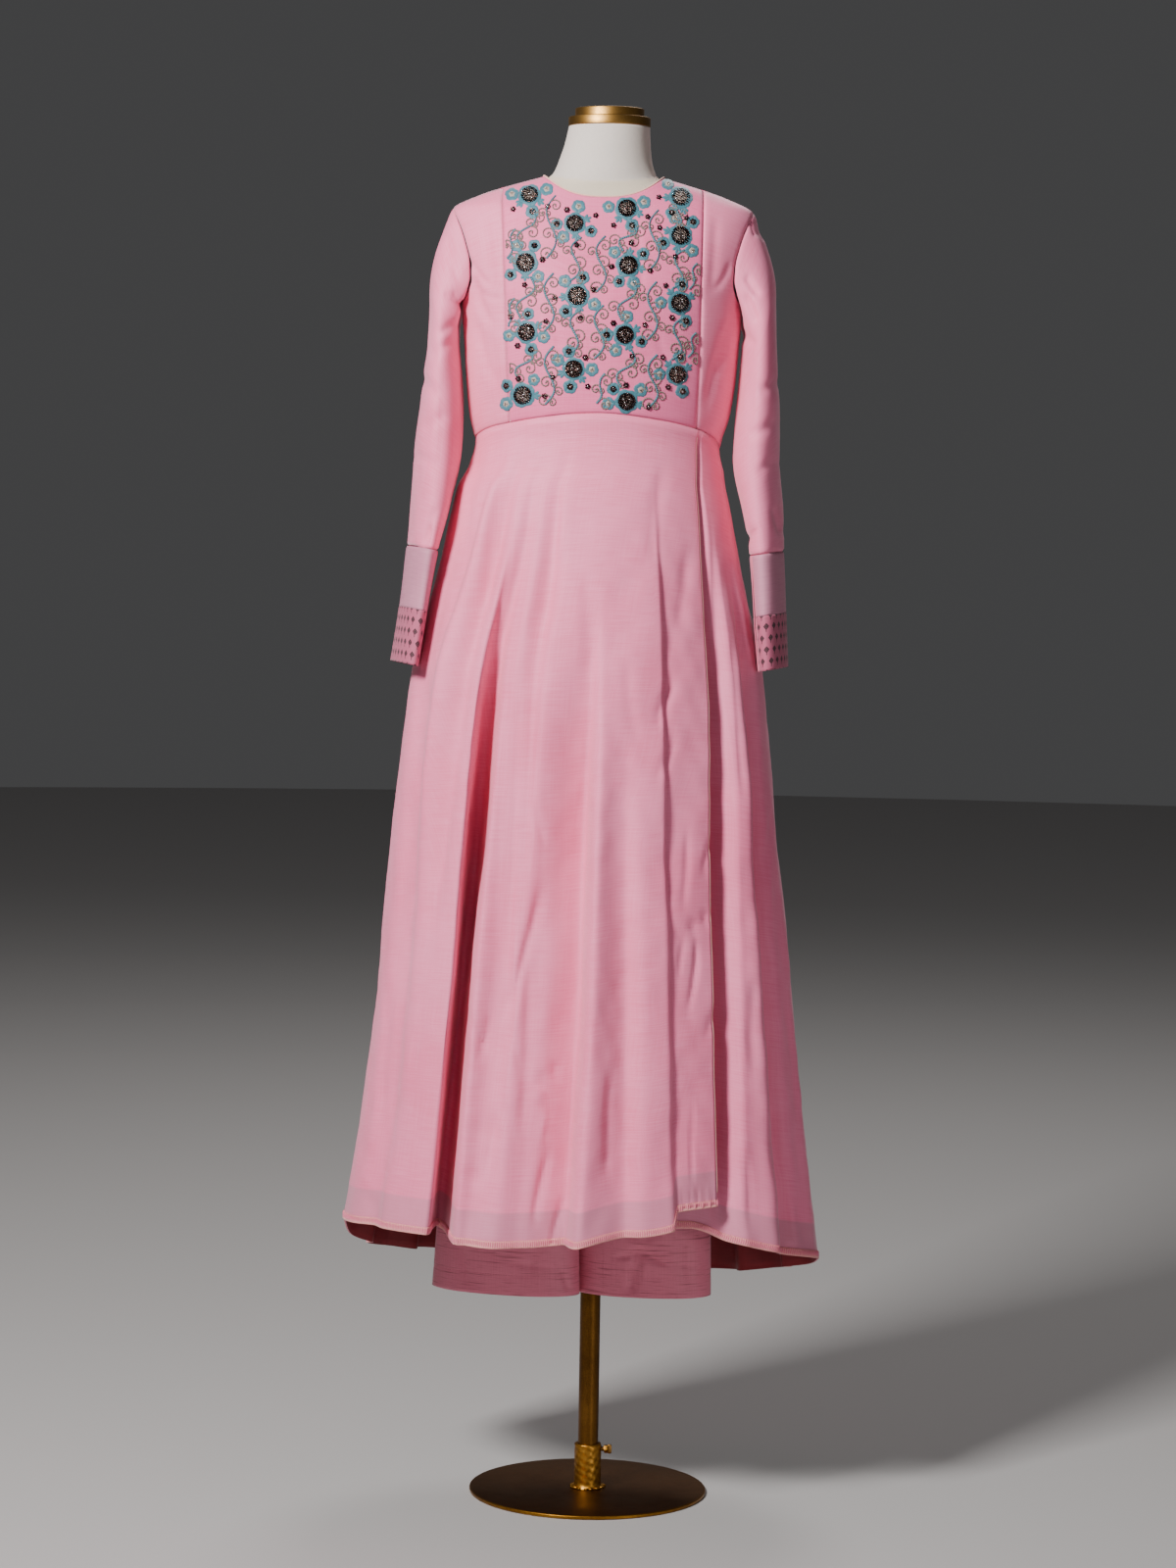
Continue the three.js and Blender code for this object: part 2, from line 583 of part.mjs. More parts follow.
// A bodice wall keeps clear of its neighbours at the waist, the side and the shoulder seam
function bodicePiece (name, grid, front, look, flip) {
  const surface = (angle, z) => {
    const p = bodyPoint(BODICE, angle, Math.min(z, NECK_SIDE))
    p.y = front ? Math.min(p.y, -SEAM / 2) : Math.max(p.y, SEAM / 2)
    return p
  }
  const normal = (angle, z) => bodyNormal(BODICE, angle, Math.min(z, NECK_SIDE))
  addMesh(name, clothWall(surface, normal, grid, { flip }), look)
}

function addBodice () {
  const waistLift = SEAM
  const along = (angle) => [angle, waistSeam(angle) + waistLift]

  // Yoke: a patch in distance across and height. Its top runs up the left shoulder, round the
  // neckline and down the right shoulder.
  const neckFrom = 0.16
  const middle = read(BODICE, 'z', 'middle', NECK_SIDE)
  const atShoulder = YOKE_SEAM[YOKE_SEAM.length - 1]
  const seamTop = {
    left: shoulderHeight(middle - atShoulder.left),
    right: shoulderHeight(atShoulder.right - middle),
  }
  const onShoulder = (side, share) => {
    const z = lerp(seamTop[side], NECK_SIDE, share)
    return [middle + (side === 'left' ? -1 : 1) * read(BODICE, 'z', 'side', z), z]
  }
  const yokeTop = (t) => {
    if (t < neckFrom) return onShoulder('left', t / neckFrom)
    if (t > 1 - neckFrom) return onShoulder('right', (1 - t) / neckFrom)
    const [angle, z] = necklineAt((t - neckFrom) / (1 - 2 * neckFrom), NECK_FRONT)
    return [bodyPoint(BODICE, angle, z).x, z]
  }
  const atWaist = YOKE_SEAM[0].z
  const seamFoot = {
    left: waistSeam(yokeAngle('left', atWaist, 0)),
    right: waistSeam(yokeAngle('right', atWaist, 0)),
  }
  const yokeEdge = (side) => (row) => {
    const z = lerp(seamFoot[side] + waistLift, seamTop[side], row)
    const inward = side === 'left' ? SEAM / 2 : -SEAM / 2
    return [row === 1 ? onShoulder(side, 0)[0] : read(YOKE_SEAM, 'z', side, z) + inward, z]
  }
  const angleAt = ([x, z]) => {
    const ratio = (x - read(BODICE, 'z', 'middle', z)) / read(BODICE, 'z', 'side', z)
    return [Math.acos(Math.min(1, Math.max(-1, ratio))) / RAD, z]
  }
  const yokeBottom = (t) => {
    const x = lerp(yokeEdge('left')(0)[0], yokeEdge('right')(0)[0], t)
    return [x, waistSeam(angleAt([x, YOKE_BOTTOM])[0]) + waistLift]
  }
  const halfAcross = [0, 0.08, neckFrom, 0.18, 0.21, 0.255, 0.32, 0.405]
  const yokeAcross = [...halfAcross, 0.5, ...halfAcross.map((t) => 1 - t).reverse()]
  const rows = BODICE_ROWS
  const yoke = patch(yokeEdge('left'), yokeEdge('right'), yokeBottom, yokeTop, rows, yokeAcross)
  bodicePiece('yoke_front', yoke.map((row) => row.map(angleAt)), true, YOKE_PINK, true)

  // The side pieces' edges along the yoke's seams
  const seamEdge = (side) => (row) => {
    const z = lerp(seamFoot[side] + waistLift, seamTop[side] - SEAM / 2, row)
    const outward = side === 'left' ? -SEAM / 2 : SEAM / 2
    return [row === 1 ? (side === 'left' ? 180 : 0) : yokeAngle(side, z, outward), z]
  }

  // Side fronts: from the yoke's seam to the side seam and armhole
  const across = steps(0, 1, 7)
  for (const [side, angle] of [['left', 180], ['right', 0]]) {
    const inner = seamEdge(side)
    const outer = (row) => outerEdge(row, angle, true)
    const bottom = (t) => along(lerp(inner(0)[0], outer(0)[0], t))
    const top = (t) => [angle, lerp(inner(1)[1], SHOULDER_TIP, t)]
    const lifted = (row) => [outer(row)[0], row === 0 ? outer(0)[1] + waistLift : outer(row)[1]]
    const grid = patch(inner, lifted, bottom, top, rows, across)
    bodicePiece(`bodice_front_${side}`, grid, true, PINK, side === 'right')
  }

  // Backs: from the centre back seam to the side seam and armhole
  const neckShare = 0.42
  const backAcross = [0, 0.14, 0.28, 0.42, 0.56, 0.7, 0.84, 0.93, 1]
  for (const [name, angle, sign] of [['bodice_back_left', 180, -1], ['bodice_back_right', 0, 1]]) {
    const gap = SEAM / 2 / 100 / RAD
    const centre = (row) => [270 + sign * gap, lerp(waistSeam(270) + waistLift, NECK_BACK, row)]
    const outer = (row) => {
      const [a, z] = outerEdge(row, angle, false)
      return [a, row === 0 ? z + waistLift : z]
    }
    const bottom = (t) => along(lerp(centre(0)[0], outer(0)[0], t))
    const top = (t) => {
      if (t >= neckShare) {
        return [angle === 0 ? 360 : 180, lerp(NECK_SIDE, SHOULDER_TIP, (t - neckShare) / (1 - neckShare))]
      }
      const [a, z] = necklineAt(angle === 180 ? 0.5 - t / neckShare / 2 : 0.5 + t / neckShare / 2, NECK_BACK)
      return [t === 0 ? 270 + sign * gap : 360 - a, z]
    }
    bodicePiece(name, patch(centre, outer, bottom, top, rows, backAcross), false, PINK, angle === 180)
  }

  // Piping round the whole neckline, standing on the cloth's edge and bending where it bends
  const onNeck = (t) => (t - neckFrom) / (1 - 2 * neckFrom)
  const frontBends = yokeAcross.map(onNeck).filter((t) => t >= 0 && t < 1)
  const backBends = backAcross.map((t) => t / neckShare).filter((t) => t <= 1)
  const path = [
    ...frontBends.map((t) => necklineAt(t, NECK_FRONT)),
    ...backBends.slice().reverse().map((t) => turnBack(necklineAt(0.5 + t / 2, NECK_BACK))),
    ...backBends.slice(1, -1).map((t) => turnBack(necklineAt(0.5 - t / 2, NECK_BACK))),
  ]
  addMesh('neck_piping', cord(path.map(onNeckline), PIPING, 8, true), TRIM_PINK)
}

const turnBack = ([angle, z]) => [360 - angle, z]

// The piping's middle beside a point of the neckline: off the edge, inward and up
function onNeckline ([angle, z]) {
  const normal = bodyNormal(BODICE, angle, z)
  const point = bodyPoint(BODICE, angle, z).addScaledVector(normal, -CLOTH / 2)
  const inward = new THREE.Vector3(-6 - point.x, -point.y, 0).normalize()
  const up = new THREE.Vector3(0, 0, 1).addScaledVector(inward, 0.6)
  up.addScaledVector(normal, -up.dot(normal)).normalize()
  return { point: point.addScaledVector(up, NECK_STAND), up: normal }
}

// Sleeves: the tube starts on the armhole and settles into the hanging ovals of its table
function sleeveSurface (table, side) {
  const mirror = side === 'left' ? -1 : 1
  const armhole = (angle) => {
    const share = (1 - Math.cos(angle * RAD)) / 2
    const z = lerp(SHOULDER_TIP, UNDERARM, share)
    const front = angle <= 180
    const turn = armholeAngle(z, side === 'left' ? 180 : 0, front)
    const p = bodyPoint(BODICE, turn, z)
    return p.add(new THREE.Vector3(mirror * ARMHOLE_GAP, 0, 0))
  }
  const oval = (angle, z) => {
    const a = angle * RAD
    const at = (column) => read(table, 'z', column, z)
    const turn = at('turn') * RAD
    const x = at('thin') * Math.cos(a) * mirror
    const y = -at('deep') * Math.sin(a)
    const c = Math.cos(turn)
    const s = Math.sin(turn)
    return new THREE.Vector3(at('x') + x * c - y * s, at('y') + x * s + y * c, z)
  }
  return (angle, t) => {
    const start = armhole(((angle % 360) + 360) % 360)
    const drop = CUFF_DROP * (1 - Math.cos(angle * RAD)) / 2
    const onCuff = t <= 2 ? lerp(SLEEVE_END, CUFF_END, t - 1) : lerp(CUFF_END, BAND_END, t - 2)
    const end = t <= 1 ? SLEEVE_END : onCuff
    const z = t <= 1 ? lerp(start.z, end - drop, Math.max(t, 0)) : end - drop
    const settled = oval(angle, z)
    const blend = Math.sin(Math.min(1, Math.max(0, t) / HEAD_SHARE) * Math.PI / 2)
    return new THREE.Vector3(lerp(start.x, settled.x, blend), lerp(start.y, settled.y, blend), z)
  }
}

function addSleeves () {
  const sleeveRows = [0, 0.02, 0.06, 0.12, 0.19, 0.28, 0.42, 0.57, 0.71, 0.85, 1]
  const tables = { left: [SLEEVE_LEFT, SLIT_LEFT], right: [SLEEVE_RIGHT, SLIT_RIGHT] }
  for (const side of ['left', 'right']) {
    const [table, slit] = tables[side]
    const surface = sleeveSurface(table, side)
    const turn = side === 'left' ? -1 : 1
    const normal = (a, t) => {
      const low = Math.max(0, t - 0.01)
      const high = t + 0.01
      const along = surface(a + 1, t).sub(surface(a - 1, t))
      const down = surface(a, high).sub(surface(a, low))
      return along.cross(down).normalize().multiplyScalar(turn)
    }
    const flip = side === 'left'
    const angles = steps(0, 360, 20).slice(0, -1)
    const gap = SEAM / 100
    const sleeveGap = SEAM / 500
    const sleeve = sleeveRows.map((t) => angles.map((a) => [a, Math.min(t, 1 - sleeveGap)]))
    addMesh(`sleeve_${side}`, clothWall(surface, normal, sleeve, { closed: true, flip }), PINK)

    const slitWidths = [{ t: 1, wide: slit.top }, { t: 2, wide: slit.seam }, { t: 3, wide: slit.end }]
    const slitAt = (t) => read(slitWidths, 't', 'wide', t)
    const open = (from, to, count) => steps(from, to, count).map((t) => {
      const w = slitAt(t)
      return steps(slit.at + w, slit.at + 360 - w, 22).map((a) => [a, t])
    })
    addMesh(`cuff_${side}`, clothWall(surface, normal, open(1 + gap, 2 - gap, 2), { flip }), CUFF_PINK)
    addMesh(`cuff_band_${side}`, clothWall(surface, normal, open(2 + gap, 3, 2), { flip }), PRINT_PINK)
  }
}

// Skirt: one surface for each layer, in angle and in the share of the way from waist to hem
function foldDepth (folds, angle, t) {
  let depth = 0
  for (const fold of folds) {
    const off = (angle - lineAt(fold, t)) / fold.wide
    if (Math.abs(off) > 4) continue
    const shape = fold.box ? Math.exp(-(off ** 4)) : Math.exp(-(off ** 2))
    const grown = smooth((t - fold.grow) / (fold.full - fold.grow))
    const faded = 1 - smooth((t - fold.fade) / FADE_SPAN)
    depth += fold.depth * shape * grown * faded
  }
  return depth
}

function skirtPoint (angle, t, hem, depth) {
  const turn = (angle + 360) % 360
  const z = lerp(waistSeam(turn), read(hem, 'angle', 'z', turn), t)
  const p = bodyPoint(SKIRT, turn, z)
  const out = new THREE.Vector3(Math.cos(turn * RAD), -Math.sin(turn * RAD), 0)
  return p.addScaledVector(out, -depth)
}

function frontSurface (angle, t) {
  const strip = STRIP.back * smooth((lineAt(STRIP, t) - angle) / STRIP.wide / 2 + 0.5) *
    smooth((t - STRIP.grow) / (STRIP.full - STRIP.grow))
  return skirtPoint(angle, t, HEM_FRONT, foldDepth(FOLDS_FRONT, angle, t) + strip)
}

function underSurface (angle, t) {
  const tucked = lerp(TUCKED.topGap, TUCKED.lowGap, smooth(t / TUCKED.full))
  const past = angle - lineAt(OVERLAP, t) + TUCKED.margin
  const beneath = smooth(past / lerp(TUCKED.topBlend, TUCKED.blend, smooth(t / TUCKED.full)) + 1)
  return skirtPoint(angle, t, HEM_REST, foldDepth(FOLDS_UNDER, angle, t) + tucked * beneath)
}

const backSurface = (angle, t) => skirtPoint(angle, t, HEM_REST, foldDepth(FOLDS_BACK, angle, t))

const straight = (angle) => ({ waist: angle, mid: angle, hem: angle })
const shifted = (line, by) => ({ waist: line.waist + by, mid: line.mid + by, hem: line.hem + by })
const between = (a, b, share) => ({
  waist: lerp(a.waist, b.waist, share), mid: lerp(a.mid, b.mid, share), hem: lerp(a.hem, b.hem, share),
})

// Column lines of a skirt panel: close together over each fold and even between folds
const FOLD_STEPS = {
  soft: [-1.5, -0.75, 0, 0.75, 1.5],
  box: [-1.5, -1.15, -0.85, -0.5, 0, 0.5, 0.85, 1.15, 1.5],
}

function columnLines (from, to, folds, spacing) {
  const wanted = []
  for (const fold of folds) {
    for (const k of fold.box ? FOLD_STEPS.box : FOLD_STEPS.soft) wanted.push(shifted(fold, k * fold.wide))
  }
  wanted.sort((a, b) => a.mid - b.mid)
  // A line that comes too near its neighbour anywhere on its way down is left out
  const apart = (a, b) => Math.min(b.waist - a.waist, b.mid - a.mid, b.hem - a.hem) > 0.5
  const lines = [from]
  for (const line of wanted) {
    if (apart(lines[lines.length - 1], line) && apart(line, to)) lines.push(line)
  }
  lines.push(to)
  const filled = [lines[0]]
  for (let i = 1; i < lines.length; i++) {
    const a = filled[filled.length - 1]
    const b = lines[i]
    const parts = Math.max(1, Math.round((b.mid - a.mid) / spacing))
    for (let k = 1; k <= parts; k++) {
      filled.push(between(a, b, k / parts))
    }
  }
  return filled
}

function skirtPanel (name, surface, lines, rows) {
  const normal = (a, t) => normalOf(surface, a, t, 0.25, 0.004)
  const trimTop = lines.map((line) => {
    const t = 1 - HEM_TRIM / (surface(lineAt(line, 0), 0).z - surface(lineAt(line, 1), 1).z)
    return [lineAt(line, t), t]
  })
  const body = rows.map((t) => lines.map((line) => [lineAt(line, t), t]))
  const grid = [...body, trimTop, lines.map((line) => [line.hem, 1])]
  addMesh(name, clothWall(surface, normal, grid), PINK)
  // The ribbed trim lies on the last few millimetres of the panel
  const trim = grid.slice(-2)
  const onTop = { thick: TRIM_THICK, lift: TRIM_LIFT + TRIM_THICK }
  addMesh(`hem_trim_${name.replace('skirt_', '')}`, clothWall(surface, normal, trim, onTop), TRIM_PINK)
}

function addSkirt () {
  const rows = [0.0005, 0.06, 0.14, 0.25, 0.38, 0.5, 0.63, 0.76, 0.88]
  const spacing = 5.5
  const gap = 0.06
  const strip = { ...STRIP, depth: 0, box: false, wide: STRIP.wide * 0.8 }
  const front = columnLines(shifted(OVERLAP, 0), straight(180 - gap), [...FOLDS_FRONT, strip], spacing)
  skirtPanel('skirt_front', frontSurface, front, rows)
  const under = columnLines(straight(0 + gap), shifted(OVERLAP, TUCKED.degrees), FOLDS_UNDER, spacing)
  skirtPanel('skirt_under', underSurface, under, rows)
  const middle = 270
  const left = FOLDS_BACK.filter((fold) => fold.mid < middle)
  const right = FOLDS_BACK.filter((fold) => fold.mid > middle)
  const backLeft = columnLines(straight(180 + gap), straight(middle - gap), left, spacing)
  skirtPanel('skirt_back_left', backSurface, backLeft, rows)
  const backRight = columnLines(straight(middle + gap), straight(360 - gap), right, spacing)
  skirtPanel('skirt_back_right', backSurface, backRight, rows)

  // Piping down the free edge of the overlap
  const path = [0.004, ...rows.slice(1), 0.985].map((t) => {
    const p = frontSurface(lineAt(OVERLAP, t), t)
    const q = frontSurface(lineAt(OVERLAP, t) + 1, t)
    const out = p.clone().sub(q).normalize()
    const normal = normalOf(frontSurface, lineAt(OVERLAP, t), t, 0.25, 0.004)
    p.addScaledVector(out, PIPING + SEAM * 1.5).addScaledVector(normal, -CLOTH / 2)
    return { point: p, up: normal }
  })
  addMesh('overlap_piping', cord(path, PIPING, 6, false), TRIM_PINK)
}

// Pants: each half is one sheet from the centre front round the side to the centre back, whose two
// edges meet again down the inside leg
function pantsSurface (side) {
  const left = side === 'left'
  const table = left ? LEG_LEFT : LEG_RIGHT
  return (share, z) => {
    const hipAngle = left ? lerp(90, 270, share) : lerp(90, -90, share)
    const hip = bodyPoint(HIPS, (hipAngle + 360) % 360, z)
    hip.x += left ? -SEAM / 2 : SEAM / 2
    const slit = 0.4
    const a = lerp(slit, 360 - slit, share) * RAD
    const at = (column) => read(table, 'z', column, z)
    const x = at('wide') * Math.cos(a) * (left ? 1 : -1)
    const lean = at('lean') * Math.sin(a)
    const leg = new THREE.Vector3(at('x') + x + lean, at('y') - at('deep') * Math.sin(a), z)
    return hip.lerp(leg, smooth((HIPS_END - z) / (HIPS_END - LEGS_START)))
  }
}

function addPants () {
  const top = PANTS_TOP - WAISTBAND - SEAM
  const heights = [top, 1120, 1040, HIPS_END, 960, 940, 922, LEGS_START, 760, 510, PANTS_HEM]
  for (const side of ['left', 'right']) {
    const surface = pantsSurface(side)
    const turn = side === 'left' ? -1 : 1
    const normal = (s, z) => normalOf(surface, s, z, 0.002, 0.5).multiplyScalar(turn)
    const grid = heights.map((z) => steps(0, 1, 22).map((s) => [s, z]))
    const cloth = { thick: PANTS_CLOTH, flip: side === 'right' }
    addMesh(`pants_${side}`, clothWall(surface, normal, grid, cloth), SILK_PINK)
  }
  // The waistband lies on the torso, so it turns at the torso's own corners
  const around = steps(0, 360, TORSO_SIDES).slice(0, -1)
  const band = [PANTS_TOP, PANTS_TOP - WAISTBAND].map((z) => around.map((a) => [a, z]))
  const surface = (a, z) => bodyPoint(FORM, a, z)
  const normal = (a, z) => bodyNormal(FORM, a, z)
  const fit = { thick: WAISTBAND_THICK, lift: WAISTBAND_THICK + 2 * SEAM, closed: true }
  addMesh('pants_waistband', clothWall(surface, normal, band, fit), SILK_PINK)
}

addStand()
addBodice()
addSleeves()
addSkirt()
addPants()

export default group
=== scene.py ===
# %% [markdown]
# A kurti with pants on a dress form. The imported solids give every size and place; this lesson
# dresses them as a maker would: cut panels, creases, seams, thread, sequins and metal. Each piece is
# worked out in millimetres from a few sizes, on the same surfaces as its solid, and is then made a mesh
# in metres. The front faces -Y, so +X is on the viewer's right, and left and right are the viewer's.

import math

import bpy
import numpy as np
from mathutils import Matrix, Vector


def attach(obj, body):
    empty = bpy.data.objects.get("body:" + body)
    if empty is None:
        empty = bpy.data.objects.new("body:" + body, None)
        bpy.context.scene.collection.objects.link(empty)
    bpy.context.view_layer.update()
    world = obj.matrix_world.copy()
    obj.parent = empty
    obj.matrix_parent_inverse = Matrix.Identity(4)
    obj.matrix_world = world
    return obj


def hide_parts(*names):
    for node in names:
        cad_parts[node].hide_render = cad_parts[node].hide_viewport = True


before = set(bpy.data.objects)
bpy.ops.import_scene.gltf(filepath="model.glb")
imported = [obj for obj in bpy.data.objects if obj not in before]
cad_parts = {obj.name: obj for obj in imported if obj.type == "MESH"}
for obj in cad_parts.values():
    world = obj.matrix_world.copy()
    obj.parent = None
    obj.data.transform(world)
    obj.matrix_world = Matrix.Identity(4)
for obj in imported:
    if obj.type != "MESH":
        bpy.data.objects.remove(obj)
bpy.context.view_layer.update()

# %% [markdown]
# Cloth that hangs has no formula of its own, but its sections do: an oval round the body at each
# height, with folds taken out of it. Short tables hold the sizes, and a smooth reading between their
# rows, which never overshoots, gives every height between them.

# %% Reading a short table of sizes
MM = 0.001


def sizes(columns, *rows):
    """A short table with named columns."""
    values = np.array(rows, float)
    return {name: values[:, k] for k, name in enumerate(columns.split())}


def lerp(a, b, t):
    return a + (b - a) * t


def smooth(t):
    c = np.clip(t, 0, 1)
    return c * c * (3 - 2 * c)


def read(rows, column, at):
    """Reads a column at a place along the first one, on a smooth line that never overshoots."""
    x, y = rows[next(iter(rows))], rows[column]
    rise = np.diff(y) / np.diff(x)
    slope = np.zeros(len(y))
    slope[0], slope[-1] = rise[0], rise[-1]
    before, after = rise[:-1], rise[1:]
    same = before * after > 0
    slope[1:-1][same] = 2 * before[same] * after[same] / (before[same] + after[same])
    at = np.clip(at, x[0], x[-1])
    i = np.clip(np.searchsorted(x, at, side="right") - 1, 0, len(x) - 2)
    step = x[i + 1] - x[i]
    t = (at - x[i]) / step
    ends = y[i] * (1 + 2 * t) * (1 - t) ** 2 + y[i + 1] * t * t * (3 - 2 * t)
    return ends + step * (slope[i] * t * (1 - t) ** 2 - slope[i + 1] * t * t * (1 - t))


def line_at(line, t):
    """A line down the skirt that bends once: its values at the waist, halfway and at the hem."""
    waist, mid, hem = line
    return waist * (1 - t) * (1 - 2 * t) + mid * 4 * t * (1 - t) + hem * t * (2 * t - 1)


# %% [markdown]
# The body under the clothes is read as ovals: the angle goes round from the right side (0) over the
# front (90) and the left side (180) to the back (270).

# %% Ovals round the body
FORM = sizes(
    "z middle side front back",
    (990, -6, 150, 98, 104), (1060, -6, 158, 104, 112), (1150, -6, 141, 98, 101),
    (1195, -6, 132, 94, 91), (1235, -6, 126, 92, 86), (1280, -6, 133, 95, 86),
    (1335, -6, 147, 102, 88), (1395, -6, 157, 110, 93), (1450, -6, 161, 114, 99),
    (1487, -6, 164, 112, 103), (1520, -6, 170, 107, 103), (1560, -6, 178, 96, 95),
    (1590, -6, 178, 82, 82), (1602, -6, 168, 75, 76), (1615, -6, 145, 67, 69),
    (1625, -6, 117, 62, 65), (1639, -6, 73, 59, 62), (1652, -5, 62, 57, 61),
    (1667, -4, 57, 54, 57), (1685, -2, 53, 52, 54), (1707, 0, 50, 50, 50))
BODICE = sizes(
    "z middle side front back",
    (1290, -8, 149, 108, 95), (1322, -8, 153, 111, 96), (1350, -7, 161, 114, 98),
    (1395, -6, 167, 119, 101), (1450, -6, 171, 122, 107), (1487, -6, 175, 120, 111),
    (1520, -6, 184, 114, 111), (1560, -6, 190, 104, 106), (1590, -6, 191, 90, 96),
    (1604, -6, 186, 83, 90), (1621.5, -6, 152, 72, 80), (1631, -6, 124, 68, 75),
    (1645, -6, 75, 65, 69))
SKIRT = sizes(
    "z middle side front back",
    (240, -17, 312, 242, 230), (450, -15, 281, 224, 214), (640, -14, 259, 207, 198),
    (830, -17, 240, 188, 180), (1025, -18, 220, 166, 156), (1180, -15, 184, 140, 132),
    (1262, -15, 167, 123, 113), (1290, -9.5, 157.5, 115, 103), (1322, -8, 153, 111, 96))
WAIST_SEAM = sizes(
    "angle z", (0, 1312), (40, 1336), (90, 1353), (140, 1338), (180, 1322),
    (230, 1316), (270, 1316), (315, 1314), (360, 1312))


def oval(rows, angle, z):
    """The point of an oval section at an angle and a height."""
    a = np.radians(angle)
    s = np.sin(a)
    deep = np.where(s >= 0, read(rows, "front", z), read(rows, "back", z))
    x = read(rows, "middle", z) + read(rows, "side", z) * np.cos(a)
    return np.stack(np.broadcast_arrays(x, -deep * s, z + 0 * s), -1)


def waist_seam(angle):
    return read(WAIST_SEAM, "z", np.mod(angle, 360.001))


print("round the waist seam:", np.round(oval(BODICE, np.array([0, 90, 180, 270]), 1340)).tolist())

# %% [markdown]
# Cloth is made from a grid of points. The grid gets its faces, a flat pattern in metres for the weave to
# follow, and its thickness from a Solidify that grows inwards, so the outside stays where the solid has it.
# The creases are soft troughs and ridges along listed lines, each with its own length, width and depth,
# pushed in along the surface's own direction.

# %% Making cloth from a grid of points
CLOTH = 1.6
SEAM_DIP = 1.1
SEAM_WIDTH = 2.4
PIECES = {}


def normals_of(points, core, closed=False):
    """The direction out of a grid of points, away from the core that it goes round."""
    if closed:
        across = np.roll(points, -1, 1) - np.roll(points, 1, 1)
    else:
        across = np.gradient(points, axis=1)
    n = np.cross(across, np.gradient(points, axis=0))
    n /= np.maximum(np.linalg.norm(n, axis=-1, keepdims=True), 1e-9)
    return -n if (n * (points - core)).sum() < 0 else n


CREASE_GAIN = 1.5


def crease_depth(points, normals, rows, facing):
    """How far listed creases push a grid in: rows of x, z to x, z, half width, depth, bow."""
    seen = np.clip(-1.8 * facing * normals[..., 1], 0, 1) if facing else 1
    depth = np.zeros(points.shape[:2])
    for x0, z0, x1, z1, wide, deep, bow in rows:
        along = np.array([x1 - x0, z1 - z0], float)
        length = np.hypot(*along)
        dx, dz = points[..., 0] - x0, points[..., 2] - z0
        t = (dx * along[0] + dz * along[1]) / length ** 2
        off = (dx * along[1] - dz * along[0]) / length - bow * 4 * t * (1 - t)
        ends = smooth(3.2 * t + 0.3) * smooth(3.2 * (1 - t) + 0.3)
        depth += deep * np.exp(-(off / wide) ** 2) * ends * (abs(t - 0.5) < 0.62)
    return CREASE_GAIN * depth * seen


def unevenness(points, size, deep, seed):
    """A slow swell of the cloth, so that no panel is a perfect surface."""
    rng = np.random.default_rng(seed)
    total = np.zeros(points.shape[:2])
    for _ in range(9):
        turn = rng.normal(size=3) * (1.2, 1.2, 0.7)
        total += np.sin(points @ turn * 2 * np.pi / size + rng.uniform(0, 2 * np.pi))
    return deep * total / 4


def seam_dip(distance):
    """The groove that a sewn seam pulls into the cloth on both its sides."""
    return SEAM_DIP * np.exp(-(distance / SEAM_WIDTH) ** 2)


def add_piece(name, mesh, *materials):
    """Puts a mesh into the scene as a piece, with its materials."""
    piece = bpy.data.objects.new(name, mesh)
    bpy.context.scene.collection.objects.link(piece)
    for material in materials:
        mesh.materials.append(material)
    PIECES[name] = piece
    return piece


def mesh_of(name, points, faces, *materials, edges=(), uv=None, marks=None):
    """A piece from points in millimetres, with its pattern and its marks."""
    mesh = bpy.data.meshes.new(name)
    mesh.from_pydata((points * MM).tolist(), edges, faces)
    if uv is not None:
        layer = mesh.uv_layers.new(name="pattern")
        corner = np.zeros(len(mesh.loops), np.int32)
        mesh.loops.foreach_get("vertex_index", corner)
        layer.data.foreach_set("uv", uv[corner].ravel())
    for label, values in (marks or {}).items():
        mesh.attributes.new(label, "FLOAT", "POINT").data.foreach_set("value", np.ravel(values))
    mesh.shade_smooth()
    return add_piece(name, mesh, *materials)


def grid_faces(down, across, closed=False, looped=False, turned=False):
    """Four-sided faces over a grid, which may close on itself across (closed) or down (looped)."""
    rows, columns = down if looped else down - 1, across if closed else across - 1
    j, i = np.meshgrid(np.arange(rows), np.arange(columns), indexing="ij")
    a, b, k = j * across, (j + 1) % down * across, (i + 1) % across
    quads = np.stack([a + i, b + i, b + k, a + k], -1).reshape(-1, 4)
    return (quads[:, ::-1] if turned else quads).tolist()


def tube(name, rings, material, looped=False, turned=False):
    """A round piece from its rings of points. Both ends are closed, unless it loops."""
    count, sides = rings.shape[:2]
    faces = grid_faces(count, sides, True, looped, turned)
    if not looped:
        for start, flipped in ((0, turned), ((count - 1) * sides, not turned)):
            faces.append(list(range(start, start + sides))[::-1 if flipped else 1])
    return mesh_of(name, rings.reshape(-1, 3), faces, material)


def pattern_of(points):
    """The flat pattern in metres: across from the middle column, and down the cloth."""
    across = np.linalg.norm(np.diff(points, axis=1), axis=-1).cumsum(1)
    across = np.pad(across, ((0, 0), (1, 0)))
    across -= across[:, [across.shape[1] // 2]]
    down = np.linalg.norm(np.diff(points, axis=0), axis=-1).mean(1).cumsum()
    down = np.broadcast_to(np.pad(down, (1, 0))[:, None], across.shape)
    return np.stack([across, down], -1).reshape(-1, 2) * MM


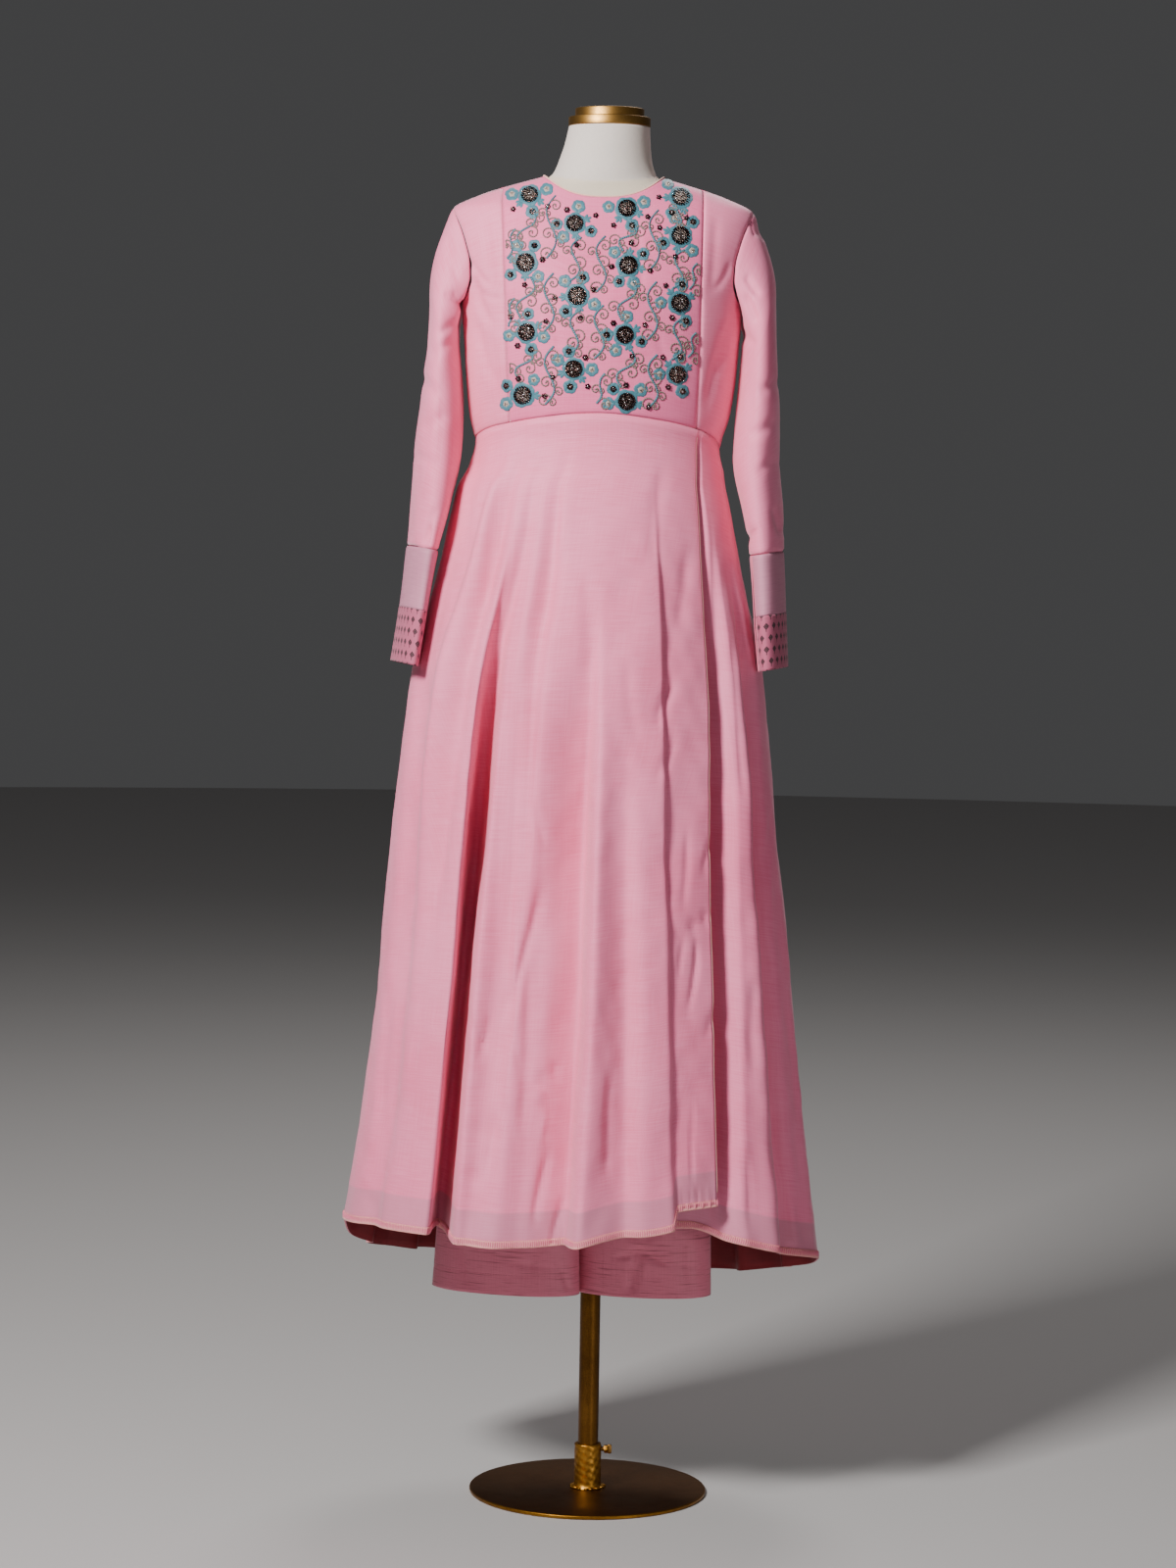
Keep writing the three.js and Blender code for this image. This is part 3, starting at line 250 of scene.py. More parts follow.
def cloth(name, points, core, outside, inside=None, thick=CLOTH, closed=False, marks=None):
    """A thin cloth wall whose outside lies on the grid."""
    down, across = points.shape[:2]
    edge_a = points[:-1, 1:] - points[:-1, :-1]
    edge_b = points[1:, :-1] - points[:-1, :-1]
    turned = (np.cross(edge_b, edge_a) * (points[:-1, :-1] - core[:-1])).sum() < 0
    faces = grid_faces(down, across, closed, turned=turned)
    piece = mesh_of(name, points.reshape(-1, 3), faces, outside, uv=pattern_of(points), marks=marks)
    wall = piece.modifiers.new("thickness", "SOLIDIFY")
    wall.thickness = thick * MM
    wall.offset = -1
    if inside:
        piece.data.materials.append(inside)
        wall.material_offset = 1
    return piece


def ring_core(points):
    """The middle of each row of a grid that goes round something."""
    return points.mean(1, keepdims=True)


print("helpers ready")

# %% [markdown]
# Every finish is a small tree of nodes. Written as Python expressions, a weave is just a product of two
# waves. One class wraps a socket and turns + - * / into Math nodes, and the finish itself adds any other
# node by its type, its settings and the values of its sockets.

# %% Shader maths as expressions


def joining(operation, swapped=False):
    """A method that joins a value with others by one Math node."""
    def method(self, *others):
        values = (self, *others)[::-1 if swapped else 1]
        return self.finish.add("ShaderNodeMath", {"operation": operation}, *values)
    return method


class Value:
    """One socket of a finish's tree. Arithmetic on it adds Math nodes."""
    __add__ = __radd__ = joining("ADD")
    __sub__, __rsub__ = joining("SUBTRACT"), joining("SUBTRACT", True)
    __mul__ = __rmul__ = joining("MULTIPLY")
    __truediv__, __rtruediv__ = joining("DIVIDE"), joining("DIVIDE", True)
    sine, absolute, root, rounded = (joining(name) for name in ("SINE", "ABSOLUTE", "SQRT", "ROUND"))
    least, most = joining("MINIMUM"), joining("MAXIMUM")

    def __init__(self, finish, socket):
        self.finish = finish
        self.socket = socket

    def wave(self, length):
        """A sine between 0 and 1 that repeats after that length."""
        return 0.5 + 0.5 * (self * (2 * math.pi / length)).sine()

    def between(self, low, high):
        """0 at low and below, 1 at high and above, and smooth between."""
        settings = {"interpolation_type": "SMOOTHSTEP"}
        return self.finish.add("ShaderNodeMapRange", settings, self, low, high, 0.0, 1.0)


def srgb(red, green, blue):
    """A colour as a screen shows it, 0 to 255, as the light it stands for."""
    parts = [c / 255 for c in (red, green, blue)]
    return tuple(c / 12.92 if c < 0.04045 else ((c + 0.055) / 1.055) ** 2.4 for c in parts) + (1.0,)


class Finish:
    """A material, made node by node."""

    def __init__(self, name, **constants):
        self.material = bpy.data.materials.new(name)
        self.material.use_nodes = True
        self.tree = self.material.node_tree
        self.shader = self.tree.nodes["Principled BSDF"]
        for label, value in constants.items():
            self.shader.inputs[label.replace("_", " ").title().replace("Ior", "IOR")].default_value = value

    def give(self, socket, value):
        """Links a value to a socket, or sets the socket to a plain one."""
        if isinstance(value, Value):
            self.tree.links.new(value.socket, socket)
        else:
            socket.default_value = value

    def add(self, kind, settings, *values, output=0):
        """Adds a node: its type, its settings first, then its sockets in order."""
        node = self.tree.nodes.new(kind)
        for label, value in settings.items():
            setattr(node, label, value)
        sockets = [s for s in node.inputs if s.enabled]
        for socket, value in zip(sockets, values):
            self.give(socket, value)
        outputs = [s for s in node.outputs if s.enabled]
        return Value(self, outputs[output])

    def feed(self, label, value):
        self.give(self.shader.inputs[label], value)

    def place(self):
        return self.add("ShaderNodeTexCoord", {}, output=3)

    def pattern(self):
        """The piece's own flat pattern: across and down, in metres."""
        uv = self.add("ShaderNodeUVMap", {"uv_map": "pattern"})
        node = self.tree.nodes.new("ShaderNodeSeparateXYZ")
        self.tree.links.new(uv.socket, node.inputs[0])
        return uv, Value(self, node.outputs[0]), Value(self, node.outputs[1])

    def mark(self, label):
        return self.add("ShaderNodeAttribute", {"attribute_name": label}, output=2)

    def stretched(self, place, x, y, z):
        return self.add("ShaderNodeVectorMath", {"operation": "MULTIPLY"}, place, (x, y, z))

    def noise(self, place, scale, detail=2.0, rough=0.5):
        settings = {"noise_dimensions": "3D"}
        return self.add("ShaderNodeTexNoise", settings, place, scale, detail, rough)

    def mix(self, share, a, b):
        """Mixes two colours by a share."""
        node = self.tree.nodes.new("ShaderNodeMix")
        node.data_type = "RGBA"
        for place, value in zip((0, 6, 7), (share, a, b)):
            self.give(node.inputs[place], value)
        return Value(self, node.outputs[2])

    def bump(self, height, distance, strength=1.0):
        node = self.tree.nodes.new("ShaderNodeBump")
        for label, value in (("Strength", strength), ("Distance", distance), ("Height", height)):
            self.give(node.inputs[label], value)
        self.feed("Normal", Value(self, node.outputs[0]))


print("expressions ready")

# %% [markdown]
# The kurti is a cotton silk: a fine even weave with faint thicker threads that run across, a soft sheen
# and a little unevenness in its dye. The last few centimetres above the hem have no lining behind them,
# so the cloth looks greyer there: a mark on the skirt's points says how far above the hem they are.

# %% Cotton silk, its lining and the cuffs' cloth
KURTI_PINK = srgb(240, 132, 166)
KURTI_DEEP = srgb(230, 108, 144)
KURTI_SHEER = srgb(188, 122, 142)
# The lining's dark red is partly its own dye and partly painted shade: it stands for the shade inside folds,
# sleeves and the hem.
LINING_SHADE_RED = srgb(126, 24, 34)
LINING_END = 0.043
THREAD = 0.00045


def cotton_silk(name, light, deep, sheen=0.35, sheer=None):
    """A plain weave with faint slubs across, in two shades of one dye."""
    f = Finish(name, roughness=0.62, sheen_weight=sheen, sheen_roughness=0.45)
    f.shader.inputs["Sheen Tint"].default_value = (1.0, 0.86, 0.9, 1)
    f.shader.inputs["Specular IOR Level"].default_value = 0.35
    uv, across, down = f.pattern()
    slubs = f.noise(f.stretched(uv, 28, 700, 1), 1.0, 3.0)
    runs = f.noise(f.stretched(uv, 480, 16, 1), 1.0, 2.0)
    clouds = f.noise(f.place(), 7.0, 3.0)
    shade = slubs * 0.5 + runs * 0.2 + clouds * 0.5
    colour = f.mix(shade.between(0.42, 0.8), light, deep)
    if sheer:
        unlined = 1 - f.mark("above_hem").between(LINING_END - 0.002, LINING_END + 0.002)
        colour = f.mix(unlined * 0.62, colour, sheer)
    f.feed("Base Color", colour)
    f.feed("Roughness", 0.56 + slubs * 0.14)
    weave = across.wave(THREAD) * down.wave(THREAD)
    f.bump(weave * 0.25 + slubs * 0.6 + runs * 0.25, 0.00012, 0.55)
    return f.material


kurti_cloth = cotton_silk("kurti_cotton_silk", KURTI_PINK, KURTI_DEEP)
skirt_cloth = cotton_silk("skirt_cotton_silk", KURTI_PINK, KURTI_DEEP, sheer=KURTI_SHEER)
# The lining cloth, on the inside of every cloth piece, carries that painted shade.
lining_shade_cloth = cotton_silk("lining_cotton_painted_shade", LINING_SHADE_RED, srgb(108, 20, 30), sheen=0.08)
yoke_cloth = cotton_silk("yoke_cotton_silk", srgb(234, 112, 154), srgb(220, 92, 136))
cuff_cloth = cotton_silk("cuff_cotton_silk", srgb(194, 128, 150), srgb(178, 110, 134), sheen=0.12)
print("cloths:", [m.name for m in bpy.data.materials])

# %% [markdown]
# The cuffs' bands are block printed with a small traditional sprig in half-drop rows: nine dots in a
# diamond with a short stem. Distances in the flat pattern make it: each point finds the middle of its
# own repeat, and every dot and the stem are a small distance to be inside of.

# %% The printed band
REPEAT_ACROSS = 0.0125
REPEAT_DOWN = 0.0142
DOT = 0.00108
SPRIG_DOTS = (
    (0, 0.0038), (-0.0014, 0.0025), (0.0014, 0.0025), (-0.0025, 0.0010), (0.0025, 0.0010),
    (-0.0014, -0.0005), (0.0014, -0.0005), (0, 0.0010), (0, -0.0019))


def printed_cotton():
    """The band's mauve pink ground with its dark sprigs."""
    f = Finish("cuff_block_print", roughness=0.72, sheen_weight=0.15)
    uv, across, down = f.pattern()
    row = (down / REPEAT_DOWN).rounded()
    odd = (row * 0.5 - (row * 0.5).rounded()).absolute() * 2
    shifted = across / REPEAT_ACROSS + odd * 0.5
    x = (shifted - shifted.rounded()) * REPEAT_ACROSS
    y = (row - down / REPEAT_DOWN) * REPEAT_DOWN
    ink = 1.0
    for dot_x, dot_y in SPRIG_DOTS:
        gap_x, gap_y = x - dot_x, y - dot_y
        far = (gap_x * gap_x + gap_y * gap_y).root() - DOT
        ink = far if ink == 1.0 else ink.least(far)
    stem = x.absolute().most((y + 0.0034).absolute() - 0.0018) - 0.0005
    ink = 1 - ink.least(stem).between(-0.0001, 0.00018)
    worn = f.noise(uv, 900.0, 3.0).between(0.1, 0.4)
    threads = f.noise(f.stretched(uv, 700, 60, 1), 1.0, 2.0)
    ground = f.mix(threads, srgb(184, 92, 120), srgb(164, 74, 100))
    f.feed("Base Color", f.mix(ink * worn, ground, srgb(44, 16, 22)))
    f.bump(across.wave(0.0005) * down.wave(0.0005) + threads, 0.0001, 0.5)
    return f.material


cuff_print = printed_cotton()

# %% [markdown]
# The pants are raw silk: straight threads of uneven thickness give dark and light slubs that run right
# across the leg, some long and some short, with a crisper sheen than the kurti's.

# %% Raw silk, tape, thread and jersey
def raw_silk():
    f = Finish("pants_raw_silk", roughness=0.48, sheen_weight=0.3, sheen_roughness=0.35)
    uv, across, down = f.pattern()
    long_slubs = f.noise(f.stretched(uv, 14, 420, 1), 1.0, 2.0)
    short_slubs = f.noise(f.stretched(uv, 55, 900, 1), 1.0, 3.0)
    runs = f.noise(f.stretched(uv, 900, 20, 1), 1.0, 2.0)
    dark = long_slubs.between(0.56, 0.72) * 0.75 + short_slubs.between(0.55, 0.75) * 0.45
    ground = f.mix(runs, srgb(226, 124, 148), srgb(208, 104, 128))
    f.feed("Base Color", f.mix(dark.least(1.0), ground, srgb(138, 38, 62)))
    f.feed("Roughness", 0.4 + short_slubs * 0.25)
    f.bump(long_slubs * 1.0 + short_slubs * 0.8 + down.wave(0.0009) * 0.15, 0.0004, 0.7)
    return f.material


def plain_textile(name, light, deep, grain, height, rough=0.8, sheen=0.2):
    """Tape, piping or thread: one dye, a fine grain in Object coordinates."""
    f = Finish(name, roughness=rough, sheen_weight=sheen)
    fibres = f.noise(f.place(), grain, 3.0)
    f.feed("Base Color", f.mix(fibres.between(0.3, 0.7), light, deep))
    f.bump(fibres, height, 0.6)
    return f.material


def jersey():
    """The form's cover: off-white jersey with fine ribs down, and a creamier cloth at its base."""
    f = Finish("form_jersey", roughness=0.9, sheen_weight=0.25)
    uv, across, down = f.pattern()
    ribs = across.wave(0.0011)
    fluff = f.noise(f.place(), 260.0, 4.0)
    clouds = f.noise(f.place(), 9.0, 3.0)
    cover = f.mix(fluff * 0.5 + clouds * 0.5, srgb(214, 202, 192), srgb(196, 184, 175))
    base = f.mix(clouds, srgb(218, 202, 180), srgb(202, 186, 164))
    f.feed("Base Color", f.mix(f.mark("base_cover"), cover, base))
    f.bump(ribs * 0.7 + fluff * 0.8, 0.00022, 0.6)
    return f.material


pants_silk = raw_silk()
trim_tape = plain_textile("hem_tape_cream", srgb(232, 164, 156), srgb(214, 130, 130), 1400.0, 0.0002)
piping_cotton = plain_textile("piping_cream", srgb(236, 186, 168), srgb(222, 160, 146), 1600.0, 0.0002)
seam_thread = plain_textile("seam_thread_pink", srgb(226, 120, 146), srgb(206, 96, 122), 2500.0, 0.0001)
teal_thread = plain_textile("embroidery_teal_thread", srgb(62, 120, 134), srgb(38, 88, 102), 2600.0, 0.0003,
                            rough=0.55, sheen=0.35)
stone_thread = plain_textile("embroidery_stone_thread", srgb(178, 160, 148), srgb(140, 122, 112), 2600.0,
                             0.0003, rough=0.6)
khaki_thread = plain_textile("embroidery_khaki_thread", srgb(128, 108, 100), srgb(98, 80, 72), 2600.0,
                             0.0003, rough=0.6)
form_jersey = jersey()

# %% [markdown]
# The stand is brass of three ages. Brushed brass has fine lines round the cap, aged brass has dull patches, a
# cast grain and a dark tone that is partly painted reflection, and the disc is a dark bronze with rubbed
# streaks and a brighter rim.

# %% Metals
def metal(name, light, dark, rough, lines=None, grain=60.0, height=0.0001, dull=0.25):
    f = Finish(name, metallic=1.0, roughness=rough)
    place = f.place()
    patches = f.noise(place, 14.0, 4.0, 0.6)
    speckle = f.noise(place, grain * 10, 3.0)
    brushed = f.noise(f.stretched(place, *(lines or (1, 1, 1))), grain if lines else 300.0, 3.0)
    tone = patches * 0.55 + brushed * 0.3 + speckle * 0.25
    f.feed("Base Color", f.mix(tone.between(0.35, 0.75), light, dark))
    f.feed("Roughness", rough + (patches - 0.5) * dull + (speckle - 0.5) * 0.12)
    f.bump(brushed + speckle * 0.5, height, 0.5)
    return f.material


brushed_brass = metal("brushed_brass", srgb(180, 138, 78), srgb(138, 100, 46), 0.42, lines=(3, 3, 60))
# The pole's aged brass is darkened partly by age and partly as a painted dark reflection of the room round
# it.
aged_brass = metal("aged_brass", srgb(120, 82, 34), srgb(78, 50, 20), 0.42, lines=(40, 40, 1.5))
cast_brass = metal("cast_brass", srgb(190, 138, 58), srgb(128, 86, 30), 0.44, grain=210.0, height=0.0003)
disc_bronze = metal("disc_bronze", srgb(120, 80, 42), srgb(74, 46, 24), 0.42, lines=(2, 12, 1), dull=0.35)
rim_brass = metal("disc_rim_brass", srgb(160, 112, 40), srgb(112, 72, 26), 0.4)
sequin_dark = metal("sequin_dark", srgb(92, 66, 60), srgb(44, 32, 34), 0.16, grain=200.0)
# Silver serves the real silver beads and painted glints: silver sequins and beads set where dark ones catch
# the light.
silver_bead_and_glint_metal = metal("silver_bead_and_glint", srgb(226, 222, 224), srgb(150, 140, 146), 0.12, grain=200.0)
print("finishes:", len(bpy.data.materials))

# %% [markdown]
# What repeats is made by Geometry Nodes. One tree sews a row of stitches along a path: it lays points
# at a pitch, puts a small round-ended stitch on each, turned along the path, makes the copies real and
# gives them their thread. The same tree makes the raised ribs of the hem tape, because a rib is a
# stitch that stands across the path. A second tree sets sequins and beads on points, tilted at random.

# %% Trees for stitches and sequins
def tree_with(name, inputs):
    """A new geometry tree with named inputs."""
    tree = bpy.data.node_groups.new(name, "GeometryNodeTree")
    tree.interface.new_socket("Geometry", in_out="INPUT", socket_type="NodeSocketGeometry")
    for label, kind in inputs:
        tree.interface.new_socket(label, in_out="INPUT", socket_type=kind)
    tree.interface.new_socket("Geometry", in_out="OUTPUT", socket_type="NodeSocketGeometry")
    tree.nodes.new("NodeGroupInput")
    tree.nodes.new("NodeGroupOutput")
    return tree


def node_in(tree, kind, links=None, values=None, **settings):
    """A node with its settings. Each link comes from a node's first output or from a named input."""
    node = tree.nodes.new(kind)
    for label, value in settings.items():
        setattr(node, label, value)
    for label, source in (links or {}).items():
        named = isinstance(source, str)
        socket = tree.nodes["Group Input"].outputs[source] if named else source.outputs[0]
        tree.links.new(socket, node.inputs[label])
    for label, value in (values or {}).items():
        node.inputs[label].default_value = value
    return node


FLOAT = "NodeSocketFloat"


def finish_tree(tree, instances):
    """Every tree ends alike: copies made real, smooth, and with their material."""
    real = node_in(tree, "GeometryNodeRealizeInstances", {"Geometry": instances})
    soft = node_in(tree, "GeometryNodeSetShadeSmooth", {"Geometry": real})
    look = node_in(tree, "GeometryNodeSetMaterial", {"Geometry": soft, "Material": "Material"})
    tree.links.new(look.outputs[0], tree.nodes["Group Output"].inputs[0])
    return tree


def stitch_tree():
    tree = tree_with("row_of_stitches", [("Pitch", FLOAT), ("Along", FLOAT), ("Across", FLOAT),
                                         ("Raise", FLOAT), ("Material", "NodeSocketMaterial")])
    path = node_in(tree, "GeometryNodeMeshToCurve", {"Mesh": "Geometry"})
    laid = node_in(tree, "GeometryNodeResampleCurve", {"Curve": path, "Length": "Pitch"}, mode="LENGTH")
    ball = node_in(tree, "GeometryNodeMeshUVSphere", values={"Segments": 6, "Rings": 5, "Radius": 0.5})
    size = node_in(tree, "ShaderNodeCombineXYZ", {"X": "Along", "Y": "Raise", "Z": "Across"})
    stitch = node_in(tree, "GeometryNodeTransform", {"Geometry": ball, "Scale": size})
    tangent = node_in(tree, "GeometryNodeInputTangent")
    along = node_in(tree, "FunctionNodeAlignRotationToVector", {"Vector": tangent}, axis="X")
    across = node_in(tree, "FunctionNodeAlignRotationToVector", {"Rotation": along},
                     {"Vector": (0, 0, 1)}, axis="Z", pivot_axis="X")
    return finish_tree(tree, node_in(tree, "GeometryNodeInstanceOnPoints",
                                     {"Points": laid, "Instance": stitch, "Rotation": across}))


def sequin_tree():
    tree = tree_with("sequins_on_points", [
        ("Radius", FLOAT), ("Thickness", FLOAT), ("Tilt", FLOAT), ("Sides", "NodeSocketInt"),
        ("Seed", "NodeSocketInt"), ("Material", "NodeSocketMaterial")])
    half = node_in(tree, "ShaderNodeMath", {0: "Radius"}, {1: 0.45}, operation="MULTIPLY")
    cup = node_in(tree, "GeometryNodeMeshCone", {"Vertices": "Sides", "Radius Bottom": "Radius",
                                                 "Radius Top": half, "Depth": "Thickness"})
    facing = node_in(tree, "GeometryNodeInputNamedAttribute", values={"Name": "facing"},
                     data_type="FLOAT_VECTOR")
    upright = node_in(tree, "FunctionNodeAlignRotationToVector", {"Vector": facing}, axis="Z")
    minus = node_in(tree, "ShaderNodeMath", {0: "Tilt"}, {1: -1.0}, operation="MULTIPLY")
    low = node_in(tree, "ShaderNodeCombineXYZ", {"X": minus, "Y": minus})
    high = node_in(tree, "ShaderNodeCombineXYZ", {"X": "Tilt", "Y": "Tilt"}, {"Z": 3.0})
    any_turn = node_in(tree, "FunctionNodeRandomValue", {"Min": low, "Max": high, "Seed": "Seed"},
                       data_type="FLOAT_VECTOR")
    turn = node_in(tree, "FunctionNodeEulerToRotation", {"Euler": any_turn})
    tilted = node_in(tree, "FunctionNodeRotateRotation", {"Rotation": upright, "Rotate By": turn},
                     rotation_space="LOCAL")
    return finish_tree(tree, node_in(tree, "GeometryNodeInstanceOnPoints",
                                     {"Points": "Geometry", "Instance": cup, "Rotation": tilted}))


def grown(name, base, tree, **values):
    """Runs a tree on a base mesh and keeps the result as a plain mesh piece."""
    grower = base.modifiers.new("grow", "NODES")
    grower.node_group = tree
    for item in tree.interface.items_tree:
        if item.in_out == "INPUT" and item.name in values:
            grower[item.identifier] = values[item.name]
    depsgraph = bpy.context.evaluated_depsgraph_get()
    mesh = bpy.data.meshes.new_from_object(base.evaluated_get(depsgraph))
    PIECES.pop(base.name)
    bpy.data.objects.remove(base)
    mesh.name = name
    print(name, len(mesh.polygons), "faces")
    return add_piece(name, mesh)


def paths_mesh(name, paths):
    """Several open paths of points in millimetres as one mesh of edges."""
    starts = np.cumsum([0] + [len(path) for path in paths]).tolist()
    edges = [(start + k, start + k + 1) for start, path in zip(starts, paths) for k in range(len(path) - 1)]
    return mesh_of(name, np.concatenate(paths), [], edges=edges)


STITCHES = stitch_tree()
SEQUINS = sequin_tree()


def stitched(name, paths, thread, pitch=2.9, along=2.1, across=0.5, raised=0.45):
    """A row of stitches along each path, all in one piece."""
    return grown(name, paths_mesh(name + "_path", paths), STITCHES, Pitch=pitch * MM, Along=along * MM,
                 Across=across * MM, Raise=raised * MM, Material=thread)


def cord_mesh(name, path, ups, radius, material, sides=10, closed=False):
    """A round cord along a path, with its ends closed."""
    if closed:
        along = np.roll(path, -1, 0) - np.roll(path, 1, 0)
    else:
        along = np.gradient(path, axis=0)
    along /= np.linalg.norm(along, axis=1, keepdims=True)
    across = np.cross(along, ups)
    across /= np.linalg.norm(across, axis=1, keepdims=True)
    up = np.cross(across, along)
    turn = np.linspace(0, 2 * np.pi, sides, endpoint=False)[None, :, None]
    rings = path[:, None] + radius * (across[:, None] * np.cos(turn) + up[:, None] * np.sin(turn))
    return tube(name, rings, material, looped=closed)


print("trees:", STITCHES.name, SEQUINS.name)

# %% [markdown]
# The bodice is cut in five: the embroidered yoke with a side front on each side, and two backs. Each piece
# fills the space between its four edges, in height and in distance across or angle round the body. It could
# be draped by simulation, but a fitted bodice hardly moves off its form, so its shape is given: grooves at
# the seams, drag lines towards the underarm, and slack beside the yoke.

# %% The bodice's edges
UNDERARM, SHOULDER_TIP, NECK_SIDE = 1487, 1604, 1645
NECK_REACH, NECK_FRONT, NECK_BACK = 75, 1616, 1632
ARMHOLE = sizes("z out", (1487, 175), (1496, 168), (1515, 161), (1535, 162), (1560, 168), (1580, 175),
                (1595, 182), (1604, 186))
YOKE_SEAM = sizes("z left right", (1340, -117, 113), (1424, -121, 115), (1640, -131, 117))
MIDDLE = -6
NEAR_WAIST = 1345.0
UNDERARM_ROW = 0.5


def angle_of(x, z):
    """The angle on the bodice's front where it lies at x at a height."""
    ratio = (x - read(BODICE, "middle", z)) / read(BODICE, "side", z)
    return np.degrees(np.arccos(np.clip(ratio, -1, 1)))


def shoulder_height(out):
    """The height where the shoulder seam is that far from the middle."""
    heights = np.linspace(SHOULDER_TIP, NECK_SIDE, 400)
    return float(np.interp(-out, -read(BODICE, "side", heights), heights))


def neckline(t, lowest):
    """The neckline from the left shoulder seam to the right one, as angle and height."""
    across = -np.cos(t * np.pi)
    z = lerp(lowest, NECK_SIDE, np.abs(across) ** 2.6)
    ratio = NECK_REACH * across / read(BODICE, "side", z)
    return np.degrees(np.arccos(np.clip(ratio, -1, 1))), z


def outer_edge(row, side, front):
    """A bodice piece's outer edge: up the side seam, then round the armhole."""
    base = 360 if side == 0 and not front else side
    low = lerp(waist_seam(base), UNDERARM, np.minimum(row / UNDERARM_ROW, 1))
    high = lerp(UNDERARM, SHOULDER_TIP, np.maximum(row - UNDERARM_ROW, 0) / (1 - UNDERARM_ROW))
    z = np.where(row <= UNDERARM_ROW, low, high)
    ratio = read(ARMHOLE, "out", z) / read(BODICE, "side", z)
    turn = np.degrees(np.arccos(np.clip(ratio, -1, 1))) * (row > UNDERARM_ROW)
    inward = base + turn if (side == 0) == front else base - turn
    return inward, z


def patch(left, right, bottom, top, across):
    """Fills the space between four edges, each an array of pairs, from shares across. Row 0 is the top."""
    share = EDGE_ROWS[:, None, None]
    t = across[None, :, None]
    corners = lerp(lerp(bottom[0], bottom[-1], t), lerp(top[0], top[-1], t), share)
    mixed = lerp(left[:, None], right[:, None], t) + lerp(bottom[None], top[None], share) - corners
    return mixed[::-1]


EDGE_ROWS = np.concatenate([np.linspace(0, 0.5, 46)[:-1], np.linspace(0.5, 1, 52)])
NECK_FROM = 0.16
YOKE_ACROSS = np.concatenate([
    np.linspace(0, NECK_FROM, 14)[:-1], np.linspace(NECK_FROM, 1 - NECK_FROM, 66)[:-1],
    np.linspace(1 - NECK_FROM, 1, 14)])


def pairs(*columns):
    return np.stack(np.broadcast_arrays(*columns), -1).astype(float)


SIGNS = {"left": -1, "right": 1}
SEAM_TOP = {"left": shoulder_height(MIDDLE + 131), "right": shoulder_height(117 - MIDDLE)}
SEAM_FOOT = {side: float(waist_seam(angle_of(YOKE_SEAM[side][0], NEAR_WAIST))) for side in SIGNS}


def on_shoulder(side, share):
    z = lerp(SEAM_TOP[side], NECK_SIDE, share)
    return MIDDLE + SIGNS[side] * read(BODICE, "side", z), z


def yoke_seam(side, row):
    z = lerp(SEAM_FOOT[side], SEAM_TOP[side], row)
    x = read(YOKE_SEAM, side, z)
    return np.where(row == 1, on_shoulder(side, 0)[0], x), z


print("shoulder seam meets the yoke at", {k: round(v) for k, v in SEAM_TOP.items()})

# %% [markdown]
# The bodice's creases are listed in the front view, in millimetres: from x, z to x, z, then half width,
# depth and bow. Drag lines run from the underarms towards the bust, and long slack folds lie beside
# the yoke's seams. The hidden back gets similar ones.

# %% The bodice's surface and its pieces
BODICE_CREASES = (
    (-163, 1518, -141, 1459, 5, 2.2, 3), (-160, 1466, -134, 1384, 6, 2.0, 2),
    (-143, 1448, -126, 1360, 5, 1.4, -2), (-170, 1541, -143, 1506, 4, 1.3, 2),
    (-150, 1585, -140, 1500, 7, 1.2, 0), (-156, 1500, -128, 1490, 4, 1.0, 2),
    (160, 1505, 139, 1405, 6, 2.2, -3), (149, 1464, 124, 1363, 6, 1.8, 2),
    (150, 1540, 132, 1505, 4, 1.2, -2), (132, 1596, 128, 1500, 6, 1.0, 0),
    (-71, 1496, -52, 1425, 6, 0.8, 2), (35, 1584, 42, 1500, 5, 0.8, 0), (60, 1450, 84, 1380, 6, 0.8, -2),
    (-30, 1400, 10, 1372, 6, 0.7, 2), (-95, 1590, -82, 1540, 5, 0.7, 0))
BACK_CREASES = (
    (-160, 1505, -120, 1440, 6, 2.2, 4), (-150, 1440, -100, 1370, 7, 1.8, 3),
    (-120, 1590, -60, 1560, 7, 1.2, 3),
    (158, 1500, 118, 1436, 6, 2.2, -4), (146, 1436, 98, 1366, 7, 1.8, -3),
    (112, 1586, 60, 1562, 7, 1.0, -3),
    (-60, 1420, 40, 1396, 8, 1.3, 4), (-40, 1360, 60, 1372, 7, 1.2, -3), (-20, 1500, 10, 1440, 8, 0.9, 0))
BODICE_SWELL = dict(size=150, deep=0.9, seed=4)
SWELL_TOP, SWELL_FADE = 1600, 60


def bodice_points(angle, z, front):
    """The bodice's surface, pushed in at its creases and at its waist seam."""
    z = np.minimum(z, NECK_SIDE)
    points = oval(BODICE, angle, z)
    points[..., 1] = np.minimum(points[..., 1], 0) if front else np.maximum(points[..., 1], 0)
    normals = normals_of(points, np.array((MIDDLE, 0, 1450)))
    rows = BODICE_CREASES if front else BACK_CREASES
    push = crease_depth(points, normals, rows, 1 if front else -1)
    push += unevenness(points, **BODICE_SWELL) * smooth((SWELL_TOP - z) / SWELL_FADE)
    push += seam_dip(z - waist_seam(angle))
    return points - normals * push[..., None], normals


def bodice_piece(name, angle, z, front, material):
    """One cut piece of the bodice, with a groove along each of its sewn sides."""
    points, normals = bodice_points(angle, z, front)
    for column in (0, -1):
        away = np.linalg.norm(points - points[:, [column]], axis=-1)
        points = points - normals * seam_dip(away)[..., None]
    core = np.full((len(points), 1, 3), (MIDDLE, 0, 1450.0))
    return cloth(name, points, core, material, lining_shade_cloth)


